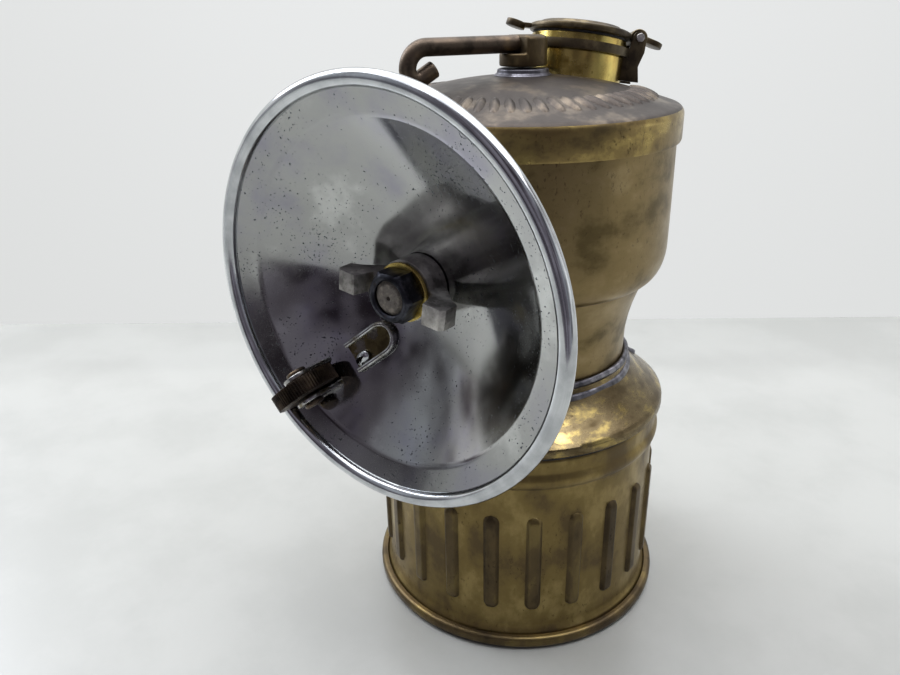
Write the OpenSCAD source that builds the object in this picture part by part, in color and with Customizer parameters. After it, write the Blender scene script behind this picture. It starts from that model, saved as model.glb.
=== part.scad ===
// Miner's carbide cap lamp: brass water tank over a screw-on carbide base,
// with a polished reflector, a burner and a flint striker.
// Z is the lamp's own axis, the foot stands on z = 0, and the reflector faces -Y.

/* [Overall] */
// Outer radius of the water tank
tank_r = 25.5; // [24:0.1:31]
// Height from the tank's shoulder to the top of the crown
tank_rise = 27.2; // [22:0.1:34]
// Thickness of the sheet brass
sheet = 0.7; // [0.5:0.05:1.0]

/* [Carbide base] */
// Outer radius of the base wall
base_r = 26.1; // [22:0.1:32]
// Height of the base wall up to its rolled top
base_h = 38.9; // [32:0.1:47]
// How far the crimped foot stands out from the base wall
foot_out = 2.2; // [1:0.1:4]
// Height of the crimped foot
foot_h = 2.4; // [1.8:0.1:4]
// How far the rolled thread bead stands out from the base wall
bead_out = 0.8; // [0.4:0.1:1.5]
// Height of the rolled thread bead
bead_h = 6; // [5.5:0.25:8]
// Number of raised grip ribs around the base
grip_count = 22; // [12:1:28]
// Width of a grip rib
grip_w = 2.5; // [1.5:0.1:3]
// Height of a grip rib above the wall
grip_out = 0.5; // [0.2:0.05:0.8]
// Lowest point of the grip ribs
grip_z0 = 7.3; // [5:0.1:12]
// Length of the grip ribs
grip_len = 20.2; // [8:0.1:22]

/* [Neck and collar] */
// Outer radius of the tank's neck
neck_r = 19.5; // [16:0.1:22]
// Height of the collar, from its lip to the neck
collar_rise = 4.5; // [4.2:0.1:6]
// Length of the straight neck
neck_len = 8; // [7.2:0.1:10]
// Height over which the neck swells into the tank
flare_len = 17.8; // [14:0.1:22]
// How far the collar's lip stands out from the base's bead
lip_out = 0.3; // [0.2:0.1:1]
// Width of the screw thread's clearance, each side
thread_gap = 0.35; // [0.25:0.05:0.5]
// Thickness of the base gasket
gasket_t = 0.55; // [0.3:0.05:1.2]

/* [Valve and lever] */
// Radius of the valve head
head_r = 3.9; // [3.2:0.1:5]
// Height of the valve head
head_h = 4.7; // [4.2:0.1:6]
// Radius of the water lever's rod
rod_r = 1.375; // [1.1:0.025:1.65]
// Reach of the lever from the lamp's axis
lever_reach = 20.3; // [16:0.1:24.5]
// Direction of the lever, from straight ahead towards the lamp's left
lever_turn = -30; // [-60:1:20]
// Radius of the needle valve's stem
stem_r = 1.3; // [1:0.05:1.5]

/* [Filler] */
// Outer radius of the filler neck
filler_r = 8.2; // [6.8:0.1:8.6]
// Direction of the filler neck, from +X towards +Y
filler_turn = 79; // [60:1:110]
// Height of the filler neck above the crown
filler_h = 6.4; // [5.6:0.1:9]
// Direction of the lid's hinge, from the filler neck's outward side
hinge_turn = -43; // [-60:1:-20]
// How far the lid stands out past the filler neck
lid_lap = 0.6; // [0.3:0.1:1]

/* [Burner and reflector] */
// Drop of the burner's axis below the tank's shoulder
burner_drop = 1; // [-4:0.1:2]
// Outer radius of the burner tube
tube_r = 3.1; // [2.8:0.1:3.6]
// Outer radius of the reflector's rolled rim
reflector_r = 31.75; // [29:0.25:38.5]
// Depth of the reflector from its rim to its middle
reflector_depth = 12.8; // [10.5:0.1:15.5]
// Radius of the rolled rim's wire
rim_wire_r = 1.2; // [0.9:0.1:1.5]
// Span of the wing nut
wing_span = 20; // [16:0.5:24]
// Turn of the wing nut, from +X
wing_turn = -8; // [-90:1:90]

/* [Striker] */
// Radius of the striker wheel
wheel_r = 5.5; // [4.5:0.1:6]
// Width of the striker wheel
wheel_w = 2.8; // [2.2:0.1:3.4]
// Direction of the striker from the burner, from +X
striker_turn = 228; // [215:1:232]
// Turn of the striker about its own middle
striker_skew = -7; // [-15:1:15]
// Radius of the flint
flint_r = 1.45; // [1.2:0.05:1.75]

/* [Cap fittings] */
// Width of the cap hook's blade
hook_w = 9; // [6:0.5:12]
// Gap between the tank and the hook's blade
hook_gap = 6; // [4.8:0.2:9]
// Radius of the brace's wire
brace_wire_r = 1.1; // [0.8:0.1:1.4]

/* [Hidden] */
$fn = 96;
eps = 0.01;
seat = 0.02;
run_fit = 0.05;
clear = 0.3;

// Heights, stacked from the foot up
gasket_z = base_h + run_fit;
collar_z = gasket_z + gasket_t;
neck_z0 = collar_z + collar_rise;
neck_z1 = neck_z0 + neck_len;
shoulder_z = neck_z1 + flare_len;
crown_top = shoulder_z + tank_rise;
burner_z = shoulder_z - burner_drop;

// Base and thread
foot_r = base_r + foot_out;
bead_r = base_r + bead_out;
base_in = base_r - sheet - 0.1;
thread_root = bead_r - 1;
thread_crest = thread_root - 0.55;
ring_crest = thread_crest - thread_gap;
ring_root = ring_crest - 0.4;
ring_in = ring_root - sheet;
thread_pitch = 2;
thread_turns = 3;
ring_len = 8;
lip_r = bead_r + lip_out;
foot_floor = 0.8;
grip_z1 = grip_z0 + grip_len;

// Tank, neck and cover
crown_r = 71.5;
crown_z = crown_top - crown_r;
band_r = tank_r + seat + sheet;
corner_r = 1.4;
tank_z1 = crown_height(tank_r) - sheet - 1.1;
band_z0 = tank_z1 - 3.5;
flare_r = neck_r + 0.48 * (tank_r - neck_r);
shoulder_h = 6;
neck_in = neck_r - sheet;
floor_z = neck_z1 - 1.5;
floor_lip = 1.8;
floor_dish_r = 0.75 * neck_in;
rib_count = 56;
rib_out0 = lever_reach - 2.5;
rib_out1 = lever_reach + 1.9;
rib_r = 0.8;
rib_high = 0.65;

// Valve
gland_r = stem_r + 2.1;
gland_base = head_r + 1;
gland_lift = 2 * seat;
gland_top = crown_top + 1;
head_z = gland_top + clear;
rod_z = head_z + head_h - rod_r + 0.05;
head_step = 1.25;
head_lip = rod_z - rod_r - 0.03;
lever_bend = 3.2;
lever_fold = 1.5;
stub_len = 2.6;
stub_rise = 30;
stub_lap = 0.2;
drip_r = stem_r + 1.2;
drip_bore = stem_r + 0.2;
drip_z0 = neck_z0 - 9;
drip_z1 = floor_z + 15;
drip_hole_r = 0.8;
valve_seat_z = floor_z + 3.5;

// Filler
filler_gap = 1.2;
filler_out = head_r + filler_gap + filler_r;
lid_r = filler_r + lid_lap;
filler_tilt = asin(filler_out / crown_r);
filler_in = filler_r - sheet;
band_h0 = 3.8;
band_h1 = 5.25;
knuckle_r = 1.5;
pin_r = 0.7;
pin_out = lid_r + 1.1;
lid_gasket_t = 0.35;
lid_h0 = filler_h + lid_gasket_t;
pin_h = lid_h0 + 0.55;
lid_edge = 1.7;
knuckle_w = 4.4;
ear_t = 0.9;
ear_gap = 0.15;
ear_round = knuckle_r - 0.4;
tab_r = 1.7;
tab_h = lid_h0 + 0.6;

// Burner
rim_front = tank_r + 15.3;
dish_mid = rim_front - reflector_depth;
dish_t = 0.5;
crease_r = reflector_r - 5.75;
dish_in = reflector_r - 2 * rim_wire_r + 0.25;
crease_w = rim_front - 2.8;
edge_w = rim_front - 1.4;
washer_t = 0.45;
washer_w = dish_mid - dish_t - washer_t - 0.05;
elbow_y = 11;
tube_bore = tube_r - 1;
hub_r = tube_r + 1.65;
hub_w0 = dish_w(hub_r) + 0.2;
hub_w1 = hub_w0 + 4.1;
ring_w0 = hub_w1 + 0.3;
ring_w1 = ring_w0 + 0.6;
lock_r = tube_r + 1.45;
hex_w1 = rim_front - 4;
hex_r = tube_r + 1.1;
tip_r = tube_r - 0.5;
wing_t = 3.2;
wing_top = hex_w1;
tip_w0 = hex_w1 - 2.4;

// Striker
striker_out = dish_in - wheel_r - 0.7;
wheel_w_pos = rim_front - 0.8;
wheel_gap = 0.35;
axle_r = 1;
ear_y = wheel_w / 2 + wheel_gap;
flint_front = wheel_w_pos - wheel_r - 0.2;
flint_len = 4.5;
flint_end = tank_r - 3;
tooth_count = 40;
tooth_h = 0.3;
ear_r = 2.6;
bracket_t = 0.7;
trough_len = 5.3;
trough_r = 2.6;
trough_t = 0.5;
trough_w = 1.3;
flint_wall = 1.1;

// Cap fittings
hook_t = 1.3;
hook_plate_r = tank_r + seat + 0.9;
hook_y = tank_r + hook_gap;
hook_z1 = band_z0 - 2;
hook_z0 = hook_z1 - 22;
brace_z = neck_z1 - 1.5;
brace_x = 11;
brace_y = hook_y + hook_t - brace_x - brace_wire_r;

// Colours
brass = "#8a7440";
dull_brass = "#6f6146";
bright_brass = "#c2a24c";
dark_brown = "#4a4038";
nickel = "#b9bcbf";
steel = "#77736e";
solder = "#6c6a76";

// Points along an arc in the drawing plane
function arc(cx, cy, r, a0, a1, n) =
    [for (i = [0 : n]) let (a = a0 + (a1 - a0) * i / n) [cx + r * cos(a), cy + r * sin(a)]];

// Outline of the neck and tank: a straight neck, a hollow flare, a round shoulder
function tank_outline(inset) = concat(
    [[neck_r - inset, neck_z0], [neck_r - inset, neck_z1]],
    [for (i = [1 : 5]) let (t = i / 5)
        [neck_r + (flare_r - neck_r) * pow(t, 1.8) - inset,
            neck_z1 + (flare_len - shoulder_h) * t]],
    [for (i = [1 : 5]) let (a = 90 * i / 5)
        [flare_r + (tank_r - flare_r) * sin(a) - inset, shoulder_z - shoulder_h * cos(a)]],
    [[tank_r - inset, tank_z1]]);

function crown_height(r) = crown_z + sqrt(crown_r * crown_r - r * r);

// Front face of the reflector: distance forward of the lamp's axis at radius r
function dish_w(r) = r <= crease_r
    ? dish_mid + (crease_w - dish_mid) * pow(r / crease_r, 2)
    : crease_w + (edge_w - crease_w) * (r - crease_r) / (dish_in - crease_r);

function dish_points(r0) = concat(
    [for (i = [0 : 12]) let (r = r0 + (crease_r - r0) * i / 12) [r, dish_w(r)]],
    [[dish_in, edge_w]]);

function reversed(v) = [for (i = [len(v) - 1 : -1 : 0]) v[i]];

module ring(r_out, r_in, z0, z1) {
    translate([0, 0, z0]) difference() {
        cylinder(r = r_out, h = z1 - z0);
        translate([0, 0, -1]) cylinder(r = r_in, h = z1 - z0 + 2);
    }
}

// Local frames
module at_burner() {
    translate([0, 0, burner_z]) rotate([90, 0, 0]) children();
}

module at_striker() {
    at_burner() rotate([0, 0, striker_turn]) translate([striker_out, 0, 0])
        rotate([0, 0, striker_skew]) children();
}

module at_filler() {
    rotate([0, 0, filler_turn]) translate([0, 0, crown_z]) rotate([0, filler_tilt, 0])
        translate([0, 0, crown_r]) children();
}

module at_hinge() {
    at_filler() rotate([0, 0, hinge_turn]) children();
}

module at_lever() {
    rotate([0, 0, lever_turn - 90]) children();
}

// Everything behind the reflector's front face, moved by shift, and everything before it
module behind_dish(shift) {
    rotate_extrude() polygon(concat([[0, 0]],
        [for (p = dish_points(0)) p + [0, shift]], [[dish_in, 0]]));
}

module before_dish(shift) {
    rotate_extrude() polygon(concat(
        [for (p = dish_points(0)) p + [0, shift]],
        [[dish_in + 5, edge_w + shift], [dish_in + 5, 70], [0, 70]]));
}

// ---- Tank ----
module tank_body() {
    color(brass) difference() {
        rotate_extrude() polygon(concat(tank_outline(0), reversed(tank_outline(sheet))));
        at_burner() cylinder(r = tube_r + seat, h = tank_r + 5);
    }
}

module tank_floor() {
    color(brass) difference() {
        rotate_extrude() polygon([[0, floor_z + 0.6], [floor_dish_r, floor_z],
            [neck_in - 1, floor_z], [neck_in - 1, floor_z - floor_lip],
            [neck_in - seat, floor_z - floor_lip], [neck_in - seat, floor_z + sheet],
            [floor_dish_r, floor_z + sheet], [0, floor_z + 0.6 + sheet]]);
        translate([0, 0, floor_z - 5]) cylinder(r = drip_r + seat, h = 10);
        translate([0, -elbow_y, floor_z - 5]) cylinder(r = tube_r + seat, h = 10);
    }
}

// Angles at which the crown's ribs make way for the filler
function rib_free(a) = abs(a - filler_turn + 5) > 36;

module cover_shell() {
    rotate_extrude() polygon(concat(
        [[band_r, band_z0]],
        arc(band_r - corner_r, crown_height(band_r - corner_r) - corner_r, corner_r, 0, 76, 5),
        [for (i = [1 : 10]) let (r = (band_r - corner_r - 0.5) * (1 - i / 10))
            [r, crown_height(r)]],
        [for (i = [0 : 10]) let (r = (tank_r - 1.2) * i / 10)
            [r, crown_height(r) - sheet]],
        [[tank_r + seat, tank_z1 + 0.3], [tank_r + seat, band_z0]]));
}

module cover_rib(a) {
    mid = (rib_out0 + rib_out1) / 2;
    rotate([0, 0, a]) translate([mid, 0, crown_height(mid) + rib_high - rib_r])
        rotate([0, 90 + asin(mid / crown_r), 0])
            cylinder(r = rib_r, h = rib_out1 - rib_out0, center = true, $fn = 24);
}

module top_cover() {
    color(dull_brass) difference() {
        union() {
            cover_shell();
            intersection() {
                union() for (i = [0 : rib_count - 1]) {
                    a = i * 360 / rib_count;
                    if (rib_free(a)) cover_rib(a);
                }
                ring(rib_out1 + 1, rib_out0 - 1, crown_height(rib_out1) - 0.5, crown_top + 2);
            }
        }
        translate([0, 0, crown_top - 5]) cylinder(r = gland_r + seat, h = 10);
        at_filler() translate([0, 0, -5]) cylinder(r = filler_r + seat, h = 10);
    }
}

// ---- Collar, thread and solder ----
module lower_collar() {
    step = (lip_r - neck_r) / 7.7;
    color(bright_brass) rotate_extrude() polygon([
        [neck_r + seat, neck_z0 + 4], [neck_r + seat, neck_z0 + 2.4],
        [neck_r + 0.9, neck_z0 + 1.4], [neck_r + 2.1 * step, neck_z0 + 0.4],
        [lip_r - 3.5 * step, collar_z + 3.2], [lip_r - 1.6 * step, collar_z + 1.75],
        [lip_r - sheet, collar_z + 1], [lip_r - sheet, collar_z],
        [lip_r, collar_z], [lip_r, collar_z + 1.3], [lip_r - 0.3, collar_z + 1.8],
        [lip_r - 1.2 * step, collar_z + 2.5], [lip_r - 3 * step, collar_z + 4],
        [neck_r + 2.6 * step, neck_z0 + 1.1], [neck_r + 1.5, neck_z0 + 2.1],
        [neck_r + 0.8, neck_z0 + 3.1], [neck_r + sheet, neck_z0 + 4]]);
}

module thread_ring() {
    color(brass) rotate_extrude() polygon(concat(
        [[ring_in, collar_z + 0.8], [ring_in, collar_z - ring_len]],
        [[ring_root, collar_z - ring_len]],
        [for (i = [0 : thread_turns - 1]) for (p = [[0, 0.4], [1, 0.9], [1, 1.3], [0, 1.8]])
            [p[0] ? ring_crest : ring_root, collar_z - ring_len + 0.2 + i * thread_pitch + p[1]]],
        [[ring_root, collar_z], [lip_r - sheet - seat, collar_z],
         [lip_r - sheet - seat, collar_z + 0.8]]));
}

module solder_bands() {
    color(solder) {
        rotate_extrude() polygon([[neck_r + 0.7 + seat, neck_z0 + 4],
            [neck_r + 0.8 + seat, neck_z0 + 3.1], [neck_r + 1.52, neck_z0 + 2.12],
            [neck_r + 2.0, neck_z0 + 2.3], [neck_r + 1.7, neck_z0 + 3.1],
            [neck_r + 1.2, neck_z0 + 4]]);
        rotate_extrude() polygon([[neck_r + seat, neck_z0 + 4.02],
            [neck_r + 1.1, neck_z0 + 4.02], [neck_r + 0.9, neck_z0 + 4.8],
            [neck_r + seat, neck_z0 + 5.2]]);
    }
}

// ---- Water valve ----
module drip_tube() {
    color(bright_brass) difference() {
        translate([0, 0, drip_z0]) cylinder(r = drip_r, h = drip_z1 - drip_z0);
        translate([0, 0, valve_seat_z]) cylinder(r = drip_bore, h = drip_z1);
        translate([0, 0, drip_z0 - 1]) cylinder(r = drip_hole_r, h = drip_z1);
        translate([0, 0, valve_seat_z + 1.8]) rotate([0, 90, 0])
            cylinder(r = drip_hole_r, h = 2 * drip_r + 2, center = true);
    }
}

module valve_gland() {
    color(solder) difference() {
        union() {
            translate([0, 0, crown_top - 2.5]) cylinder(r = gland_r, h = 3.2);
            rotate_extrude() polygon([[gland_r - 0.4, crown_height(gland_r - 0.4) + gland_lift],
                [gland_base, crown_height(gland_base) + gland_lift],
                [gland_base - 0.6, crown_top + 0.25], [gland_r + 0.8, gland_top - 0.15],
                [gland_r + 0.2, gland_top], [gland_r - 0.4, gland_top]]);
            translate([0, 0, crown_top]) cylinder(r = gland_r - 0.2, h = gland_top - crown_top);
        }
        translate([0, 0, crown_top - 5]) cylinder(r = stem_r + run_fit, h = 10);
    }
}

module valve_stem() {
    color(steel) {
        translate([0, 0, valve_seat_z + 1.3])
            cylinder(r = stem_r, h = head_lip - 0.1 - valve_seat_z - 1.3);
        translate([0, 0, valve_seat_z + 0.15]) cylinder(r1 = 0.5, r2 = stem_r, h = 1.15);
    }
}

module valve_head() {
    color(brass) difference() {
        rotate_extrude() polygon([[0, head_z], [head_r, head_z],
            [head_r, head_z + head_h - 0.7], [head_r - 0.2, head_z + head_h - 0.3],
            [head_r - 0.7, head_z + head_h], [0, head_z + head_h]]);
        translate([0, 0, head_z - 1]) cylinder(r = stem_r + eps, h = head_lip - head_z + 0.95);
        at_lever() translate([head_step, -10, head_lip]) cube([10, 20, 10]);
    }
}

module water_lever() {
    bend_x = lever_reach - lever_bend;
    fold_x = lever_reach - lever_fold;
    fold_z = rod_z - lever_bend;
    color(dark_brown) at_lever() {
        translate([head_step + eps, 0, rod_z]) rotate([0, 90, 0])
            cylinder(r = rod_r, h = bend_x - head_step, $fn = 48);
        translate([bend_x, 0, fold_z]) rotate([90, 0, 0])
            rotate_extrude(angle = 90) translate([lever_bend, 0]) circle(r = rod_r, $fn = 48);
        translate([fold_x, 0, fold_z]) rotate([-90, 0, 0])
            rotate_extrude(angle = 90 + stub_rise) translate([lever_fold, 0])
                circle(r = rod_r, $fn = 48);
        translate([fold_x, 0, fold_z]) rotate([0, stub_rise, 0])
            translate([-stub_len, 0, -lever_fold]) rotate([0, 90, 0])
                cylinder(r = rod_r, h = stub_len + stub_lap, $fn = 48);
    }
}

// ---- Filler ----
module filler_neck() {
    color(bright_brass) at_filler() difference() {
        translate([0, 0, -1.6]) cylinder(r = filler_r, h = filler_h + 1.6);
        translate([0, 0, -3]) cylinder(r = filler_in, h = filler_h + 6);
    }
}

module hinge_ear(y0) {
    translate([0, y0 + ear_t, 0]) rotate([90, 0, 0]) linear_extrude(ear_t) union() {
        polygon([[filler_r - 1.2, 0.1], [filler_r + 2.6, 0.1], [filler_r + 2.1, 2.6],
            [pin_out + ear_round, 5], [pin_out + ear_round, pin_h],
            [pin_out - ear_round, pin_h], [pin_out - knuckle_r, band_h1 + 0.2],
            [filler_r - 1.2, band_h1 - 0.3]]);
        translate([pin_out, pin_h]) circle(r = ear_round);
    }
}

module hinge_bracket() {
    color(brass) at_hinge() difference() {
        union() {
            ring(filler_r + 0.7, filler_r, band_h0, band_h1);
            hinge_ear(knuckle_w / 2 + ear_gap);
            hinge_ear(-knuckle_w / 2 - ear_gap - ear_t);
        }
        translate([0, 0, -1]) cylinder(r = filler_r + seat, h = filler_h + 2);
        translate([pin_out, 0, pin_h]) rotate([90, 0, 0])
            cylinder(r = pin_r + eps, h = 20, center = true);
    }
}

module hinge_pin() {
    color(steel) at_hinge() translate([pin_out, 0, pin_h]) rotate([90, 0, 0])
        cylinder(r = pin_r, h = knuckle_w + 2 * (ear_t + ear_gap) + 0.4, center = true);
}

module filler_lid() {
    color(dark_brown) at_hinge() difference() {
        union() {
            translate([0, 0, lid_h0]) rotate_extrude() polygon([[0, 0], [lid_r - 0.2, 0],
                [lid_r, 0.3], [lid_r, 0.9], [lid_r - 0.5, 1.35], [lid_r - 1.6, 1.5],
                [lid_r - 2.2, lid_edge + 0.1], [lid_r - 5, lid_edge + 0.35],
                [0, lid_edge + 0.5]]);
            // Rolled knuckle, tail and the web that joins them to the lid
            translate([pin_out, 0, pin_h]) rotate([90, 0, 0])
                cylinder(r = knuckle_r, h = knuckle_w, center = true);
            translate([pin_out + 0.9, -knuckle_w / 2 + 0.2, pin_h - 0.4]) rotate([0, 14, 0])
                cube([2.4, knuckle_w - 0.4, 1]);
            translate([pin_out + 3.2, 0, pin_h - 1]) rotate([0, 14, 0])
                cylinder(r = knuckle_w / 2 - 0.5, h = 1);
            translate([lid_r - 1.5, -knuckle_w / 2, lid_h0 + 0.3]) cube([2, knuckle_w, 1.1]);
            // Thumb tab, turned up at the far side
            translate([-lid_r - 1.4, -0.9, lid_h0 + 0.3]) cube([2.6, 1.8, 0.9]);
            translate([-lid_r - 2.5, 0, tab_h]) rotate([0, 12, 0])
                cylinder(r = tab_r, h = 1.1, center = true);
        }
        translate([pin_out, 0, pin_h]) rotate([90, 0, 0])
            cylinder(r = pin_r + run_fit, h = 20, center = true);
    }
}

module lid_gasket() {
    color("#5a4030") at_filler() translate([0, 0, filler_h + eps])
        cylinder(r = filler_r - 0.1, h = lid_gasket_t - eps);
}

// ---- Gas path and burner ----
module burner_tube() {
    color(bright_brass) difference() {
        union() {
            translate([0, -elbow_y, floor_z - 1.5])
                cylinder(r = tube_r, h = burner_z - floor_z + 1.5);
            translate([0, -elbow_y, burner_z]) sphere(r = tube_r);
            at_burner() translate([0, 0, elbow_y]) cylinder(r = tube_r, h = ring_w1 - elbow_y);
        }
        translate([0, -elbow_y, floor_z - 3]) cylinder(r = tube_bore, h = burner_z - floor_z + 3);
        translate([0, -elbow_y, burner_z]) sphere(r = tube_bore);
        at_burner() translate([0, 0, elbow_y]) cylinder(r = tube_bore, h = 40);
    }
}

module burner_collar() {
    color(solder) difference() {
        at_burner() difference() {
            cylinder(r1 = tube_r + 3.4, r2 = tube_r + 2.4, h = washer_w - 0.05);
            translate([0, 0, -1]) cylinder(r = tube_r + seat, h = 60);
        }
        cylinder(r = tank_r + seat, h = crown_top);
    }
}

module reflector_washer() {
    color(bright_brass) at_burner()
        ring(tube_r + 2.1, tube_r + run_fit, washer_w, washer_w + washer_t);
}

module reflector() {
    color(nickel) at_burner() difference() {
        union() {
            rotate_extrude() polygon(concat(dish_points(tube_r + run_fit),
                reversed([for (p = dish_points(tube_r + run_fit)) p - [0, dish_t]])));
            rotate_extrude() translate([reflector_r - rim_wire_r, rim_front - rim_wire_r])
                circle(r = rim_wire_r, $fn = 32);
        }
        rotate([0, 0, striker_turn]) translate([striker_out, 0, wheel_w_pos])
            rotate([90, 0, striker_skew])
                cylinder(r = wheel_r + clear, h = wheel_w + 2 * clear, center = true);
        rotate([0, 0, 168]) translate([crease_r - 3.5, 0, 0]) cylinder(r = 0.6, h = 60);
    }
}

module wing_nut() {
    color(steel) at_burner() rotate([0, 0, wing_turn]) difference() {
        union() {
            translate([0, 0, hub_w0]) cylinder(r = hub_r, h = hub_w1 - hub_w0);
            for (side = [0, 180]) rotate([0, 0, side]) translate([0, wing_t / 2, 0])
                rotate([90, 0, 0]) linear_extrude(wing_t) polygon([
                    [hub_r - 0.9, hub_w0 + 0.6], [hub_r + 0.8, hub_w0 + 1.4],
                    [wing_span / 2 - 1.5, wing_top - 4], [wing_span / 2, wing_top - 3.2],
                    [wing_span / 2, wing_top - 0.7], [wing_span / 2 - 0.7, wing_top],
                    [wing_span / 2 - 3.6, wing_top], [hub_r + 0.8, hub_w1 + 0.8],
                    [hub_r - 0.9, hub_w1 - 0.3]]);
        }
        cylinder(r = tube_r + run_fit, h = 60);
    }
}

module lock_ring() {
    color(bright_brass) at_burner() difference() {
        union() {
            translate([0, 0, ring_w0]) cylinder(r = lock_r, h = ring_w1 - ring_w0 - 0.15);
            translate([0, 0, ring_w1 - 0.2]) cylinder(r1 = lock_r, r2 = lock_r - 0.2, h = 0.15);
        }
        cylinder(r = tube_r + seat, h = 60);
    }
}

module tip_holder() {
    color(dark_brown) at_burner() difference() {
        union() {
            translate([0, 0, ring_w1 + eps]) cylinder(r = hex_r, h = hex_w1 - ring_w1 - eps, $fn = 6);
            translate([0, 0, ring_w1 - 2.5]) cylinder(r = tube_bore - eps, h = 3);
        }
        translate([0, 0, tip_w0]) cylinder(r = tip_r, h = 10);
        cylinder(r = 0.9, h = 60);
    }
}

module burner_tip() {
    color("#8f867b") at_burner() difference() {
        union() {
            translate([0, 0, tip_w0 + eps]) cylinder(r = tip_r - eps, h = 1.7);
            translate([0, 0, tip_w0 + 1.7]) cylinder(r1 = tip_r - 0.1, r2 = tip_r - 0.6, h = 0.4);
        }
        cylinder(r = 0.35, h = 60);
    }
}

// ---- Striker ----
module stadium(len, r) {
    union() {
        translate([-len, -r]) square([len, 2 * r]);
        translate([-len, 0]) circle(r = r);
    }
}

module spark_trough() {
    color(nickel) difference() {
        at_striker() translate([-wheel_r - 0.6, 0, dish_mid]) difference() {
            linear_extrude(12) stadium(trough_len, trough_r);
            translate([0, 0, -1]) linear_extrude(14) stadium(trough_len, trough_r - trough_t);
        }
        at_burner() behind_dish(eps);
        at_burner() before_dish(trough_w);
    }
}

module striker_bracket() {
    color(nickel) difference() {
        at_striker() for (side = [-1, 1])
            translate([0, side * (ear_y + bracket_t / 2), 0]) rotate([90, 0, 0])
                linear_extrude(bracket_t, center = true) union() {
                    translate([-ear_r, dish_mid]) square([2 * ear_r, wheel_w_pos - dish_mid]);
                    translate([0, wheel_w_pos]) circle(r = ear_r);
                }
        at_burner() behind_dish(eps);
        at_striker() translate([0, 0, wheel_w_pos]) rotate([90, 0, 0])
            cylinder(r = axle_r + eps, h = 20, center = true);
    }
}

module striker_axle() {
    color(dark_brown) at_striker() translate([0, 0, wheel_w_pos]) rotate([90, 0, 0]) {
        cylinder(r = axle_r, h = 2 * (ear_y + bracket_t) + 0.6, center = true);
        for (side = [-1, 1]) translate([0, 0, side * (ear_y + bracket_t + 0.4)])
            cylinder(r = axle_r + 0.7, h = 0.7, center = true);
    }
}

module striker_wheel() {
    color(dark_brown) at_striker() translate([0, 0, wheel_w_pos]) rotate([90, 0, 0])
        difference() {
            linear_extrude(wheel_w, center = true) polygon(
                [for (i = [0 : 2 * tooth_count - 1])
                    let (r = wheel_r - (i % 2) * tooth_h, a = i * 180 / tooth_count)
                    [r * cos(a), r * sin(a)]]);
            cylinder(r = axle_r + run_fit, h = 20, center = true);
        }
}

module flint_tube() {
    color(nickel) difference() {
        at_striker() difference() {
            union() {
                translate([0, 0, flint_end]) cylinder(r = flint_r + flint_wall, h = 20);
                translate([0, 0, flint_front - 2])
                    cylinder(r1 = flint_r + flint_wall, r2 = wheel_r + 1, h = 6);
            }
            translate([0, 0, flint_end - 1]) cylinder(r = flint_r + 0.12, h = 60);
            translate([0, 0, wheel_w_pos]) rotate([90, 0, 0])
                cylinder(r = wheel_r + clear, h = wheel_w + 2 * clear, center = true);
        }
        at_burner() before_dish(-dish_t - eps);
    }
}

module flint() {
    color("#5b5550") at_striker() translate([0, 0, flint_front - flint_len])
        cylinder(r = flint_r, h = flint_len);
}

// A coil spring swept as rings of points along a helix
module coil(r, wire, h, turns) {
    n = 12;
    m = 6;
    total = turns * n;
    pts = [for (i = [0 : total]) for (j = [0 : m - 1])
        let (a = 360 * i / n, b = 360 * j / m, q = r + wire * cos(b))
        [q * cos(a), q * sin(a), h * i / total + wire * sin(b)]];
    sides = [for (i = [0 : total - 1]) for (j = [0 : m - 1])
        [i * m + j, (i + 1) * m + j, (i + 1) * m + (j + 1) % m, i * m + (j + 1) % m]];
    caps = [[for (j = [0 : m - 1]) j], [for (j = [m - 1 : -1 : 0]) total * m + j]];
    polyhedron(points = pts, faces = concat(sides, caps));
}

module flint_spring() {
    wire = 0.22;
    length = flint_front - flint_len - flint_end - 1.5;
    color(steel) at_striker() translate([0, 0, flint_end + 1.5 + wire + 0.05])
        coil(flint_r - wire - 0.1, wire, length - 2 * wire - 0.1, 6);
}

module flint_cap() {
    color(bright_brass) at_striker() {
        translate([0, 0, flint_end - 1.6])
            cylinder(r = flint_r + flint_wall + 0.3, h = 1.6 - eps);
        translate([0, 0, flint_end - 0.1]) cylinder(r = flint_r + 0.1, h = 1.6);
    }
}

// ---- Gas filter ----
module felt_filter() {
    color("#9c9484") ring(neck_in - 0.1, drip_r + 0.1, neck_z0 + 1.6, floor_z - floor_lip - 0.1);
}

module felt_plate() {
    color(bright_brass) difference() {
        ring(neck_in - 0.1, drip_r + 0.2, neck_z0 + 1, neck_z0 + 1.55);
        // Three rows of gas holes: share of the neck's radius, and count
        for (row = [[0.37, 8], [0.61, 12], [0.83, 18]]) for (i = [0 : row[1] - 1])
            rotate([0, 0, i * 360 / row[1]]) translate([row[0] * neck_in, 0, neck_z0])
                cylinder(r = 0.9, h = 5, $fn = 24);
    }
}

module filter_clip() {
    color(steel) translate([0, 0, neck_z0 + 0.45]) rotate([0, 0, 20])
        rotate_extrude(angle = 320) translate([neck_in - 0.55, 0]) circle(r = 0.5, $fn = 24);
}

// ---- Carbide base ----
module base_gasket() {
    color("#2c2a28") ring(lip_r - 0.6, ring_crest + clear, gasket_z, collar_z - run_fit);
}

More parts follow.
